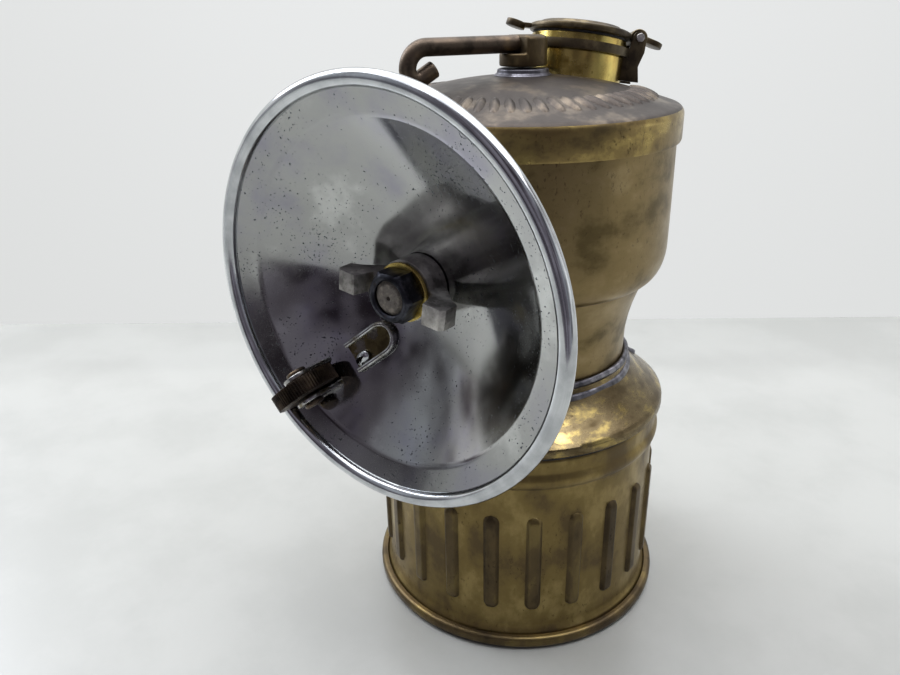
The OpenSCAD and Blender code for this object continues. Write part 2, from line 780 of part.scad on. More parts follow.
module carbide_base() {
    bead_z = base_h - bead_h;
    color(brass) difference() {
        union() {
            rotate_extrude() polygon(concat(
                [[0, foot_floor + 0.05], [base_r + 0.75, foot_floor + 0.05],
                 [base_r + 0.75, foot_h], [base_r + 0.25, foot_h + 0.6], [base_r, foot_h + 1.6],
                 [base_r, bead_z - 0.8]],
                arc(bead_r - 1, bead_z + 0.9, 1, -50, 0, 3),
                [[bead_r, base_h - 1]],
                arc(bead_r - 0.6, base_h - 0.6, 0.6, 0, 90, 3),
                [[0, base_h]]));
            for (i = [0 : grip_count - 1]) rotate([0, 0, 360 * (i + 0.85) / grip_count])
                translate([base_r + grip_out - grip_w / 2, 0, 0]) {
                    translate([0, 0, grip_z0 + grip_w / 2])
                        cylinder(r = grip_w / 2, h = grip_z1 - grip_z0 - grip_w, $fn = 32);
                    for (z = [grip_z0 + grip_w / 2, grip_z1 - grip_w / 2])
                        translate([0, 0, z]) sphere(r = grip_w / 2, $fn = 32);
                }
        }
        rotate_extrude() polygon(concat(
            [[0, foot_floor - 1], [base_in, foot_floor - 1], [base_in, bead_z + 0.6],
             [thread_crest, bead_z + 0.6]],
            [for (i = [0 : 1]) for (p = [[1, 0.4], [0, 0.9], [0, 1.7], [1, 2.2]])
                [p[0] ? thread_crest : thread_root, bead_z + 0.8 + i * thread_pitch + p[1] * 0.9]],
            [[thread_crest, base_h + 1], [0, base_h + 1]]));
    }
}

module base_bottom() {
    color(dull_brass) rotate_extrude() polygon(concat(
        [[0, 0], [foot_r - 1, 0]],
        arc(foot_r - 0.9, 0.9, 0.9, -80, 0, 4),
        arc(foot_r - 0.8, foot_h - 0.8, 0.8, 0, 90, 4),
        [[base_r + 0.8, foot_h], [base_r + 0.8, foot_floor], [0, foot_floor]]));
}

// ---- Cap fittings ----
module hook_plate() {
    color(brass) intersection() {
        ring(hook_plate_r, tank_r + seat, hook_z1 - 12, hook_z1);
        translate([-7, 0, 0]) cube([14, 60, crown_top]);
    }
}

module cap_hook() {
    top_in = arc(hook_y - 2, hook_z1 - 2 - hook_t, 2, 90, 0, 4);
    top_out = arc(hook_y - 2, hook_z1 - 2 - hook_t, 2 + hook_t, 0, 90, 4);
    color(brass) difference() {
        translate([hook_w / 2, 0, 0]) rotate([90, 0, -90]) linear_extrude(hook_w) mirror([1, 0])
            polygon(concat([[tank_r - 1, hook_z1 - hook_t]], top_in,
                [[hook_y, hook_z0 + 1.2], [hook_y + 0.5, hook_z0],
                 [hook_y + hook_t, hook_z0 + 1.2]],
                top_out, [[tank_r - 1, hook_z1]]));
        cylinder(r = hook_plate_r + seat, h = crown_top);
    }
}

module cap_brace() {
    color(brass) difference() {
        translate([0, 0, brace_z]) {
            for (side = [-1, 1]) translate([side * brace_x, brace_y, 0]) rotate([90, 0, 0])
                cylinder(r = brace_wire_r, h = 12, $fn = 32);
            translate([0, brace_y, 0]) rotate_extrude(angle = 180)
                translate([brace_x, 0]) circle(r = brace_wire_r, $fn = 32);
        }
        cylinder(r = neck_r + seat, h = crown_top);
    }
}

tank_body();
tank_floor();
top_cover();
lower_collar();
thread_ring();
solder_bands();
drip_tube();
valve_gland();
valve_stem();
valve_head();
water_lever();
filler_neck();
hinge_bracket();
hinge_pin();
filler_lid();
lid_gasket();
burner_tube();
burner_collar();
reflector_washer();
reflector();
wing_nut();
lock_ring();
tip_holder();
burner_tip();
spark_trough();
striker_bracket();
striker_axle();
striker_wheel();
flint_tube();
flint();
flint_spring();
flint_cap();
felt_filter();
felt_plate();
filter_clip();
base_gasket();
carbide_base();
base_bottom();
cap_hook();
hook_plate();
cap_brace();
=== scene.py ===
"""A miner's carbide cap lamp: brass tank and base, nickelled reflector, flint striker."""
from math import asin, cos, pi, radians, sin, sqrt

import bmesh
import bpy
from mathutils import Matrix, Vector


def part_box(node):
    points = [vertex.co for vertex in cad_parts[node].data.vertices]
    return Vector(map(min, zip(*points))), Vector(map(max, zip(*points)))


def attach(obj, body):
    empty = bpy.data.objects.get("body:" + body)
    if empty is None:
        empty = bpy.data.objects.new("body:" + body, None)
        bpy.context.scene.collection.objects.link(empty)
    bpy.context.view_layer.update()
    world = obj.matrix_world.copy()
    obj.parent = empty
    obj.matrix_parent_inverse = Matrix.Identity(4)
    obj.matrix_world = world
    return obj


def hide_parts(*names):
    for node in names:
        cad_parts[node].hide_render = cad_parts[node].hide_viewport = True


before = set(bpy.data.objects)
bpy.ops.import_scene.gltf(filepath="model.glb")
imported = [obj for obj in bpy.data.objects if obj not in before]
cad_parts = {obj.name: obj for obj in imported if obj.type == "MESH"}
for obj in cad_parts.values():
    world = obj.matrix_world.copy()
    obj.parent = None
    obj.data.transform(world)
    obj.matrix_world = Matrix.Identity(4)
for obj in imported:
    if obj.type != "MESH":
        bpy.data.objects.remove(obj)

bl_info = {
    "name": "Carbide Cap Lamp",
    "version": (1, 0, 0),
    "blender": (4, 5, 0),
    "location": "View3D > Sidebar > Lamp",
    "description": "Builds the looks of a brass carbide cap lamp round its packed parts",
    "category": "Add Mesh",
}

MM = 0.001
BRASS_BODY = "lamp_body"


def span(node):
    """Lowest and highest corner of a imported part, in millimetres."""
    low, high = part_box(node)
    return low / MM, high / MM


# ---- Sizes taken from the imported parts, in millimetres ----
FOOT_R = span("base_bottom")[1].x
FOOT_H = span("base_bottom")[1].z
BASE_H = span("carbide_base")[1].z
TANK_R = span("tank_body")[1].x
NECK_Z0 = span("tank_body")[0].z
TANK_Z1 = span("tank_body")[1].z
COVER_R = span("top_cover")[1].x
BAND_Z0 = span("top_cover")[0].z
LIP_R = span("lower_collar")[1].x
COLLAR_Z = span("lower_collar")[0].z
GLAND_TOP = span("valve_gland")[1].z
HEAD_Z1 = span("valve_head")[1].z
RIM_FRONT = -span("reflector")[0].y
RIM_R = span("reflector")[1].x
BURNER_Z = (span("reflector")[0].z + span("reflector")[1].z) / 2
HUB_FRONT = -span("lock_ring")[0].y

BASE_R = FOOT_R - 2.2
BEAD_R = BASE_R + 0.8
BEAD_Z = BASE_H - 6
NECK_R = 19.5
NECK_Z1 = NECK_Z0 + 8
SHOULDER_Z = NECK_Z1 + 17.8
CROWN_TOP = GLAND_TOP - 1
CROWN_R = 71.5
CROWN_Z = CROWN_TOP - CROWN_R
SHEET = 0.7
FILLER_OUT = 13.3
FILLER_R = 8.2
FILLER_H = 6.4
FILLER_TURN = 79
HINGE_TURN = -43
LID_R = 8.8
LID_H0 = 6.75
PIN_OUT = 9.9
PIN_H = 7.3
LEVER_TURN = -30
ROD_R = 1.375
ROD_Z = HEAD_Z1 - ROD_R + 0.05
WIRE_R = 1.2
DISH_DEEP = 12.8
DISH_MID = RIM_FRONT - DISH_DEEP
CREASE_R = RIM_R - 5.75
CREASE_W = RIM_FRONT - 2.8
DISH_EDGE = RIM_R - 2 * WIRE_R + 0.25
EDGE_W = RIM_FRONT - 1.4
TUBE_R = 3.1
WHEEL_R = 5.5
WHEEL_W = 2.8
WHEEL_FORWARD = RIM_FRONT - 0.8
STRIKER_OUT = 23.4
STRIKER_TURN = 228
STRIKER_SKEW = -7
GRIP_PHASE = 0.85  # where the first grip rib stands, as a share of the step between ribs
ROUND = 224  # segments round a large turned piece

# ---- Camera and stage: millimetres for the eye and lens, metres ahead of the eye for the rest ----
EYE = Vector((67.82, -113.32, 106.59))
LENS = 30.16
TABLE_END = 0.264
WALL_AWAY = 1.1

BURNER = Matrix.Translation((0, 0, BURNER_Z)) @ Matrix.Rotation(pi / 2, 4, "X")
STRIKER = (BURNER @ Matrix.Rotation(radians(STRIKER_TURN), 4, "Z")
           @ Matrix.Translation((STRIKER_OUT, 0, 0))
           @ Matrix.Rotation(radians(STRIKER_SKEW), 4, "Z"))
WHEEL = STRIKER @ Matrix.Translation((0, 0, WHEEL_FORWARD)) @ Matrix.Rotation(pi / 2, 4, "X")
FILLER = (Matrix.Rotation(radians(FILLER_TURN), 4, "Z") @ Matrix.Translation((0, 0, CROWN_Z))
          @ Matrix.Rotation(asin(FILLER_OUT / CROWN_R), 4, "Y")
          @ Matrix.Translation((0, 0, CROWN_R)))
HINGE = FILLER @ Matrix.Rotation(radians(HINGE_TURN), 4, "Z")
LEVER = Matrix.Rotation(radians(LEVER_TURN - 90), 4, "Z")
UPRIGHT = Matrix.Identity(4)


def crown_height(r):
    """Height of the domed crown at a radius."""
    return CROWN_Z + sqrt(CROWN_R ** 2 - r * r)


def dish_height(r):
    """How far forward of the lamp's axis the reflector's front face lies."""
    if r <= CREASE_R:
        return DISH_MID + (CREASE_W - DISH_MID) * (r / CREASE_R) ** 2
    return CREASE_W + (EDGE_W - CREASE_W) * (r - CREASE_R) / (DISH_EDGE - CREASE_R)


def turns(count):
    """Angles evenly spaced round a circle."""
    return [2 * pi * k / count for k in range(count)]


def arc(x, z, r, start, stop, steps):
    """Points along an arc of an outline."""
    angles = [radians(start + (stop - start) * i / steps) for i in range(steps + 1)]
    return [(x + r * cos(t), z + r * sin(t)) for t in angles]


# ---- Mesh helpers ----
def show(name, data):
    """A new object in the scene for a mesh, a light or a camera."""
    piece = bpy.data.objects.new(name, data)
    bpy.context.scene.collection.objects.link(piece)
    return piece


def finish_mesh(bm, name, place=UPRIGHT, crease=32):
    """Turns a bmesh in millimetres into a smooth-shaded object in its place."""
    bmesh.ops.remove_doubles(bm, verts=bm.verts, dist=0.0005)
    bmesh.ops.recalc_face_normals(bm, faces=bm.faces)
    mesh = bpy.data.meshes.new(name)
    bm.to_mesh(mesh)
    bm.free()
    mesh.transform(Matrix.Scale(MM, 4) @ place)
    mesh.shade_smooth()
    mesh.set_sharp_from_angle(angle=radians(crease))
    piece = show(name, mesh)
    return piece


def add_lathe(bm, outline, segments=160, wobble=None):
    """Spins a closed outline of (radius, height) about Z."""
    rings = []
    for r, z in outline:
        if r < 1e-6:
            rings.append([bm.verts.new((0, 0, z))])
            continue
        ring = []
        for i in range(segments):
            a = 2 * pi * i / segments
            extra = wobble(a, r, z) if wobble else 0
            ring.append(bm.verts.new(((r + extra) * cos(a), (r + extra) * sin(a), z)))
        rings.append(ring)
    for near, far in zip(rings, rings[1:] + rings[:1]):
        for i in range(segments):
            j = (i + 1) % segments
            corners = [near[i % len(near)], near[j % len(near)],
                       far[j % len(far)], far[i % len(far)]]
            corners = list(dict.fromkeys(corners))
            if len(corners) > 2:
                bm.faces.new(corners)


def lathe(name, outline, place=UPRIGHT, segments=160, crease=32, wobble=None):
    """A turned or spun piece."""
    bm = bmesh.new()
    add_lathe(bm, outline, segments, wobble)
    return finish_mesh(bm, name, place, crease)


def add_sweep(bm, path, radius, sides=20, closed=False, flatten=1.0):
    """Carries a round section along a path; radius may be a list, one for each point."""
    path = [Vector(p) for p in path]
    count = len(path)
    radii = radius if isinstance(radius, list) else [radius] * count
    lead = (path[1] - path[-1 if closed else 0]).normalized()
    side = lead.orthogonal().normalized()
    rings = []
    for i, p in enumerate(path):
        ahead = path[(i + 1) % count] if closed or i < count - 1 else p
        behind = path[i - 1] if closed or i > 0 else p
        along = (ahead - behind).normalized()
        side = (side - along * side.dot(along)).normalized()
        up = along.cross(side)
        rings.append([bm.verts.new(p + (side * cos(t) + up * sin(t) * flatten) * radii[i])
                      for t in turns(sides)])
    pairs = list(zip(rings, rings[1:] + rings[:1])) if closed else list(zip(rings, rings[1:]))
    for near, far in pairs:
        for k in range(sides):
            m = (k + 1) % sides
            bm.faces.new((near[k], near[m], far[m], far[k]))
    if not closed:
        bm.faces.new(rings[0])
        bm.faces.new(rings[-1])


def add_slab(bm, outline, z0, z1, place=UPRIGHT):
    """A flat shape of a given thickness."""
    low = [bm.verts.new(place @ Vector((x, y, z0))) for x, y in outline]
    high = [bm.verts.new(place @ Vector((x, y, z1))) for x, y in outline]
    bm.faces.new(low)
    bm.faces.new(high)
    for i in range(len(outline)):
        j = (i + 1) % len(outline)
        bm.faces.new((low[i], low[j], high[j], high[i]))


def add_grid(bm, rows):
    """Fills the faces between rows of points."""
    for a, b in zip(rows, rows[1:]):
        for k in range(len(a) - 1):
            bm.faces.new((a[k], a[k + 1], b[k + 1], b[k]))


def bake(piece):
    """Replaces a piece's live modifiers by the plain mesh that they give."""
    graph = bpy.context.evaluated_depsgraph_get()
    mesh = bpy.data.meshes.new_from_object(piece.evaluated_get(graph))
    piece.modifiers.clear()
    piece.data = mesh
    return piece


def soften(piece, width, steps=3, angle=35):
    """Rounds a piece's edges by a small bevel."""
    edge = piece.modifiers.new("Edges", "BEVEL")
    edge.width = width * MM
    edge.segments = steps
    edge.limit_method = "ANGLE"
    edge.angle_limit = radians(angle)
    edge.harden_normals = False
    bake(piece)
    piece.data.shade_smooth()
    piece.data.set_sharp_from_angle(angle=radians(38))
    return piece


def cut(piece, cutter):
    """Takes the cutter's shape out of a piece."""
    tool = piece.modifiers.new("Cut", "BOOLEAN")
    tool.operation = "DIFFERENCE"
    tool.solver = "EXACT"
    tool.object = cutter
    bake(piece)
    bpy.data.objects.remove(cutter)
    piece.data.shade_smooth()
    piece.data.set_sharp_from_angle(angle=radians(32))
    return piece


def copy_of(node, crease=28, bevel=0.0):
    """A welded, smooth-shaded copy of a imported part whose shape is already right."""
    bm = bmesh.new()
    bm.from_mesh(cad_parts[node].data)
    bmesh.ops.remove_doubles(bm, verts=bm.verts, dist=0.002 * MM)
    bmesh.ops.dissolve_limit(bm, angle_limit=radians(0.4), verts=bm.verts, edges=bm.edges)
    mesh = bpy.data.meshes.new(node + "_finish")
    bm.to_mesh(mesh)
    bm.free()
    mesh.shade_smooth()
    mesh.set_sharp_from_angle(angle=radians(crease))
    piece = show(node + "_finish", mesh)
    if bevel:
        soften(piece, bevel, 2)
    return piece


def dress(piece, body, finish, slot, *nodes):
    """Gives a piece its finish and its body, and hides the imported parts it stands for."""
    piece.data.materials.clear()
    piece.data.materials.append(finish_of(finish))
    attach(piece, body)
    if nodes:
        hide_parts(*nodes)
    return piece


def finish_copy(node, body, finish, slot, bevel=0.0, crease=30):
    """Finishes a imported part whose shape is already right."""
    return dress(copy_of(node, crease, bevel), body, finish, slot, node)


# ---- Geometry Nodes: one piece repeated round an axis ----
def ring_tree():
    """A node tree that repeats the piece it is put on round the Z axis."""
    if "Repeat round an axis" in bpy.data.node_groups:
        return bpy.data.node_groups["Repeat round an axis"]
    tree = bpy.data.node_groups.new("Repeat round an axis", "GeometryNodeTree")
    face = tree.interface
    face.new_socket("Geometry", in_out="INPUT", socket_type="NodeSocketGeometry")
    for label, kind in (("Count", "NodeSocketInt"), ("Start", "NodeSocketFloat"),
                        ("Gap Middle", "NodeSocketFloat"), ("Gap Half Width", "NodeSocketFloat"),
                        ("Finish", "NodeSocketMaterial")):
        face.new_socket(label, in_out="INPUT", socket_type=kind)
    face.new_socket("Geometry", in_out="OUTPUT", socket_type="NodeSocketGeometry")
    given = add(tree, "NodeGroupInput")
    result = add(tree, "NodeGroupOutput")
    seats = add(tree, "GeometryNodePoints", {}, {"Count": given.outputs["Count"]})
    index = add(tree, "GeometryNodeInputIndex")
    step = maths(tree, "DIVIDE", 2 * pi, given.outputs["Count"])
    turn = maths(tree, "MULTIPLY_ADD", index.outputs[0], step.outputs[0], given.outputs["Start"])
    off = maths(tree, "SUBTRACT", turn.outputs[0], given.outputs["Gap Middle"])
    wrap = maths(tree, "WRAP", off.outputs[0], pi, -pi)
    size = maths(tree, "ABSOLUTE", wrap.outputs[0])
    kept = add(tree, "FunctionNodeCompare", {"operation": "GREATER_THAN"},
               {0: size.outputs[0], 1: given.outputs["Gap Half Width"]})
    spin = add(tree, "ShaderNodeCombineXYZ", {}, {"Z": turn.outputs[0]})
    placed = add(tree, "GeometryNodeInstanceOnPoints", {},
                 {"Points": seats.outputs[0], "Instance": given.outputs["Geometry"],
                  "Selection": kept.outputs[0], "Rotation": spin.outputs[0]})
    solid = add(tree, "GeometryNodeRealizeInstances", {}, {"Geometry": placed.outputs[0]})
    dyed = add(tree, "GeometryNodeSetMaterial", {},
               {"Geometry": solid.outputs[0], "Material": given.outputs["Finish"]})
    tree.links.new(dyed.outputs[0], result.inputs[0])
    return tree


def repeat_round(piece, finish, count, start=0.0, gap_middle=0.0, gap_half=-1.0,
                 place=UPRIGHT):
    """Repeats a piece, made about the Z axis, and puts the ring of copies in its place."""
    tree = ring_tree()
    mod = piece.modifiers.new("Ring", "NODES")
    mod.node_group = tree
    values = {"Count": count, "Start": radians(start), "Gap Middle": radians(gap_middle),
              "Gap Half Width": radians(gap_half), "Finish": finish_of(finish)}
    for item in tree.interface.items_tree:
        if item.in_out == "INPUT" and item.name in values:
            mod[item.identifier] = values[item.name]
    bake(piece)
    piece.data.transform(place)
    return piece


def in_metres(place):
    """A place given in millimetres, for a mesh already in metres."""
    moved = place.copy()
    moved.translation = place.translation * MM
    return moved


# ---- Node helper and colours ----
def add(tree, kind, settings=None, values=None):
    """Adds one node, with its settings and its values or links."""
    node = tree.nodes.new(kind)
    for key, value in (settings or {}).items():
        setattr(node, key, value)
    return feed(tree, node, values or {})


def feed(tree, node, values):
    """Gives a node's inputs their values or links."""
    for key, value in values.items():
        if isinstance(value, bpy.types.NodeSocket):
            tree.links.new(value, node.inputs[key])
        else:
            node.inputs[key].default_value = value
    return node


def maths(tree, kind, *values, **settings):
    """Adds a node that works out a number."""
    return add(tree, "ShaderNodeMath", {"operation": kind, **settings}, dict(enumerate(values)))


def bumps(tree, height, strength, depth):
    """Adds the relief of a surface, its depth in millimetres."""
    return add(tree, "ShaderNodeBump", {},
               {"Strength": strength, "Distance": depth * MM, "Height": height})


def tint(code):
    """A linear colour from an sRGB hex code."""
    channels = [int(code[i:i + 2], 16) / 255 for i in (1, 3, 5)]
    linear = [c / 12.92 if c <= 0.04045 else ((c + 0.055) / 1.055) ** 2.4 for c in channels]
    return (*linear, 1.0)


def ramp(tree, source, stops, smooth=True):
    """A colour ramp from (position, colour) stops."""
    node = add(tree, "ShaderNodeValToRGB", {}, {0: source})
    node.color_ramp.interpolation = "EASE" if smooth else "LINEAR"
    while len(node.color_ramp.elements) < len(stops):
        node.color_ramp.elements.new(0.5)
    for point, (at, colour) in zip(node.color_ramp.elements, stops):
        point.position = at
        point.color = tint(colour) if isinstance(colour, str) else colour
    return node


def new_material(name):
    """An empty node material with its shader."""
    material = bpy.data.materials.new(name)
    material.use_nodes = True
    tree = material.node_tree
    tree.nodes.clear()
    shader = add(tree, "ShaderNodeBsdfPrincipled")
    result = add(tree, "ShaderNodeOutputMaterial", {}, {"Surface": shader.outputs[0]})
    result.target = "ALL"
    return material, tree, shader


def grain(tree, size_mm, detail, rough, seed, stretch=(1, 1, 1)):
    """Noise whose blotches are about size_mm across."""
    where = add(tree, "ShaderNodeTexCoord")
    placed = add(tree, "ShaderNodeMapping", {"vector_type": "POINT"},
                 {"Vector": where.outputs["Object"], "Location": (seed, seed * 0.37, -seed),
                  "Scale": stretch})
    return add(tree, "ShaderNodeTexNoise", {"noise_dimensions": "3D"},
               {"Vector": placed.outputs[0], "Scale": 1 / (size_mm * MM), "Detail": detail,
                "Roughness": rough})


WHITE = (1, 1, 1, 1)
BLACK = (0, 0, 0, 1)


def worn_metal(name, dark, middle, light, blotch, pit, pitted, pit_colour, rough, bump,
               stretch, seed, metallic=1.0):
    """Bare metal with tarnish in blotches, darker pits, and a surface that varies in polish."""
    material, tree, shader = new_material(name)
    patches = grain(tree, blotch, 6, 0.6, seed, (1, 1, stretch))
    colour = ramp(tree, patches.outputs["Fac"],
                  [(0.34, dark), (0.5, middle), (0.66, light)])
    pits = grain(tree, pit, 6, 0.72, seed + 3, (1, 1, 0.6))
    where = grain(tree, blotch * 1.7, 3, 0.5, seed + 7)
    depth = maths(tree, "MULTIPLY_ADD", where.outputs["Fac"], 0.3, pits.outputs["Fac"])
    spots = ramp(tree, depth.outputs[0], [(pitted + 0.12, BLACK), (pitted + 0.3, WHITE)])
    mixed = add(tree, "ShaderNodeMix", {"data_type": "RGBA"},
                {0: spots.outputs[0], 6: colour.outputs[0], 7: tint(pit_colour)})
    polish = add(tree, "ShaderNodeMapRange", {},
                 {0: patches.outputs["Fac"], 1: 0.3, 2: 0.7, 3: rough[1], 4: rough[0]})
    dull = maths(tree, "MULTIPLY_ADD", spots.outputs[0], 0.2, polish.outputs[0], use_clamp=True)
    fine = grain(tree, 0.5, 3, 0.6, seed + 11)
    low = maths(tree, "MULTIPLY_ADD", spots.outputs[0], -0.6, fine.outputs["Fac"])
    relief = bumps(tree, low.outputs[0], 0.35, bump)
    feed(tree, shader, {"Metallic": metallic, "Base Color": mixed.outputs[2],
                        "Roughness": dull.outputs[0], "Normal": relief.outputs[0]})
    return material


def make_materials(kit):
    """Every finish of the lamp, by the name of what it is."""
    # Each metal: its name; dark, middle and light colour; width of a blotch and of a pit in
    # millimetres; how rare pits are; their colour; least and most roughness; depth of relief in
    # millimetres; upright squeeze of the grain; where in the noise it lies; share of metal
    metals = {
        # Spun sheet brass left to age: olive brown, worn brighter where it is handled
        "tank": ("Spun brass, aged", "#665839", kit.tank_colour, "#978560",
                 11, 0.7, 0.62, "#463a28", (0.28, 0.46), 0.05, 1.5, 1, 0.92),
        # The same sheet drawn deep for the base: browner, with dark stains near the foot
        "base": ("Drawn brass, stained", "#64553a", kit.base_colour, "#998656",
                 8, 0.7, 0.61, "#3f3323", (0.3, 0.5), 0.06, 0.7, 2, 0.9),
        # Pressed ribs of the base, darker brown than the wall: a browner tone with painted shade of
        # the ribs' shaded sides
        "rib": ("Pressed brass, brown", "#463b2a", "#5d4f36", "#75653f",
                6, 0.8, 0.62, "#33281b", (0.36, 0.52), 0.05, 0.5, 12, 0.85),
        # Polished brass that still shines gold, with a few dark pits
        "bright": ("Polished brass", "#7d682f", kit.bright_colour, "#cdb264",
                   7, 0.7, 0.64, "#4a3a20", (0.15, 0.34), 0.04, 1, 3),
        # The flared collar: gold where rubbed, browned towards its lip
        "collar": ("Rubbed brass, browned", "#584b34", "#74664a", "#a8945c",
                   5, 0.7, 0.62, "#4a3a20", (0.18, 0.36), 0.04, 2.2, 15, 0.95),
        # The cover's upright band, still more golden than its top
        "band": ("Brass band, aged", "#63553a", "#857249", "#ab965c",
                 6, 0.7, 0.6, "#3a2e1f", (0.24, 0.42), 0.05, 1.4, 16, 0.92),
        # Brass gone a dull brown-grey, as a top is where hands and smoke reach it
        "crown": ("Brass, smoke-darkened", "#3f3a36", kit.crown_colour, "#6b6154",
                  7, 0.7, 0.64, "#2f2822", (0.36, 0.54), 0.05, 1, 4, 0.85),
        # Brown oxide on a brass rod
        "lever": ("Brass rod, oxidised", "#40382f", kit.lever_colour, "#78664f",
                  4, 0.6, 0.64, "#2c231e", (0.34, 0.5), 0.04, 1, 5, 0.85),
        # Stamped brass darkened to a bronze
        "lid": ("Stamped brass, bronzed", "#372f25", "#544a38", "#7d7054",
                5, 0.7, 0.64, "#261f17", (0.3, 0.46), 0.04, 1, 6, 0.88),
        # Tin-lead solder: violet-grey, lumpy and soft in its shine
        "solder": ("Soft solder", "#454449", "#65646a", "#8c8b91",
                   2.5, 0.6, 0.62, "#35333b", (0.34, 0.5), 0.12, 1, 7),
        # Plain steel forging, greyed and browned by handling
        "steel": ("Forged steel", "#6b6865", kit.steel_colour, "#c4c1bc",
                  3, 0.5, 0.62, "#3a332c", (0.34, 0.5), 0.05, 1, 8, 0.85),
        # Blued steel turned dark, with a little brown in its corners
        "iron": ("Blackened steel", "#1d1d21", "#33343a", "#53545a",
                 2, 0.5, 0.62, "#3b2a1e", (0.28, 0.44), 0.05, 1, 9),
        # Striker wheel steel, browned by rust and sparks
        "wheel": ("Hardened steel, browned", "#2d2621", "#4a3f35", "#6b5c4c",
                  2, 0.5, 0.62, "#3f2a1c", (0.36, 0.52), 0.05, 1, 13, 0.9),
        # Nickel plate on the small fittings, with brass showing at worn places
        "fitting": ("Nickel plate, worn", "#7a6f58", "#a5a4a1", "#c8c9c9",
                    3, 0.6, 0.64, "#5a4a34", (0.16, 0.34), 0.04, 1, 10),
        # Nickel burnt off by sparks, down to stained brass
        "scorched": ("Nickel plate, scorched", "#4f4530", "#736848", "#8d8a80",
                     2.5, 0.5, 0.6, "#3b3020", (0.2, 0.4), 0.05, 1, 14),
    }
    made = {key: worn_metal(*values) for key, values in metals.items()}
    made.update(mirror=nickel_mirror(kit), rim=bright_rim(), tip=fired_tip(), rubber=rubber(),
                felt=felt())
    return made


def nickel_mirror(kit):
    """Polished nickel plate: a mirror with a fine haze, specks and faint rubbing marks."""
    material, tree, shader = new_material("Nickel plate, polished")
    haze = grain(tree, 14, 5, 0.6, 21)
    specks = grain(tree, 0.4, 2, 0.5, 22)
    area = grain(tree, 16, 3, 0.5, 23)
    shown = maths(tree, "MULTIPLY_ADD", area.outputs["Fac"], 0.42, specks.outputs["Fac"])
    dots = ramp(tree, shown.outputs[0], [(0.86, BLACK), (0.93, WHITE)])
    colour = ramp(tree, haze.outputs["Fac"],
                  [(0.3, "#9a99a3"), (0.55, kit.mirror_colour), (0.7, "#c6c8c5")])
    mixed = add(tree, "ShaderNodeMix", {"data_type": "RGBA"},
                {0: dots.outputs[0], 6: colour.outputs[0], 7: tint("#5c5f62")})
    polish = add(tree, "ShaderNodeMapRange", {},
                 {0: haze.outputs["Fac"], 1: 0.35, 2: 0.68, 3: 0.06, 4: 0.17})
    dull = maths(tree, "MULTIPLY_ADD", dots.outputs[0], 0.3, polish.outputs[0], use_clamp=True)
    wave = grain(tree, 9, 1, 0.4, 25)
    relief = bumps(tree, wave.outputs["Fac"], 0.12, 0.12)
    feed(tree, shader, {"Metallic": 1.0, "Base Color": mixed.outputs[2],
                        "Roughness": dull.outputs[0], "Normal": relief.outputs[0]})
    return material


def bright_rim():
    """The rolled rim, rubbed brighter than the bowl."""
    material, tree, shader = new_material("Nickel plate, rubbed rim")
    wear = grain(tree, 5, 4, 0.6, 27)
    colour = ramp(tree, wear.outputs["Fac"], [(0.35, "#b8bbbe"), (0.65, "#d3d6d8")])
    polish = add(tree, "ShaderNodeMapRange", {},
                 {0: wear.outputs["Fac"], 1: 0.3, 2: 0.7, 3: 0.2, 4: 0.09})
    feed(tree, shader, {"Metallic": 1.0, "Base Color": colour.outputs[0],
                        "Roughness": polish.outputs[0]})
    return material


def fired_tip():
    """Fired steatite, sooted round its gas hole."""
    material, tree, shader = new_material("Steatite, sooted")
    soot = grain(tree, 1.0, 5, 0.7, 31)
    colour = ramp(tree, soot.outputs["Fac"],
                  [(0.3, "#2f2c29"), (0.5, "#6b655d"), (0.7, "#958d81")])
    relief = bumps(tree, soot.outputs["Fac"], 0.5, 0.1)
    feed(tree, shader, {"Roughness": 0.75, "Base Color": colour.outputs[0],
                        "Normal": relief.outputs[0]})
    return material


def rubber():
    """Moulded black rubber, gone slightly grey."""
    material, tree, shader = new_material("Moulded rubber")
    bloom = grain(tree, 2, 4, 0.6, 33)
    colour = ramp(tree, bloom.outputs["Fac"], [(0.35, "#1d1b1a"), (0.7, "#3a3733")])
    feed(tree, shader, {"Roughness": 0.7, "Base Color": colour.outputs[0]})
    return material


def felt():
    """Pressed wool felt: matt, with short matted fibres."""
    material, tree, shader = new_material("Pressed wool felt")
    fibres = grain(tree, 0.4, 6, 0.75, 35)
    colour = ramp(tree, fibres.outputs["Fac"], [(0.3, "#6f6857"), (0.7, "#aaa28c")])
    relief = bumps(tree, fibres.outputs["Fac"], 0.8, 0.3)
    feed(tree, shader, {"Roughness": 0.95, "Base Color": colour.outputs[0],
                        "Normal": relief.outputs[0]})
    return material


FINISH = {}


def finish_of(name):
    """A finish, made on first use."""
    if not FINISH:
        FINISH.update(make_materials(bpy.context.scene.lamp_finish))
    return FINISH[name]


# ---- What a user may change ----
def colour_setting(name, about, code):
    """A colour that a user may change, as a hex code."""
    return bpy.props.StringProperty(name=name, description="Colour of " + about, default=code)


class LampFinish(bpy.types.PropertyGroup):
    """Colours of the lamp's finishes, as hex codes"""
    tank_colour: colour_setting("Tank", "the aged brass tank", "#877550")
    base_colour: colour_setting("Base", "the stained brass base", "#7e6c42")
    bright_colour: colour_setting("Bright brass", "the polished brass", "#c0ab63")
    crown_colour: colour_setting("Crown", "the smoke-darkened top", "#443e39")
    lever_colour: colour_setting("Lever", "the oxidised rod", "#5b4f43")
    steel_colour: colour_setting("Steel", "the forged steel", "#9b9894")
    mirror_colour: colour_setting("Reflector", "the polished nickel", "#a9aaa8")


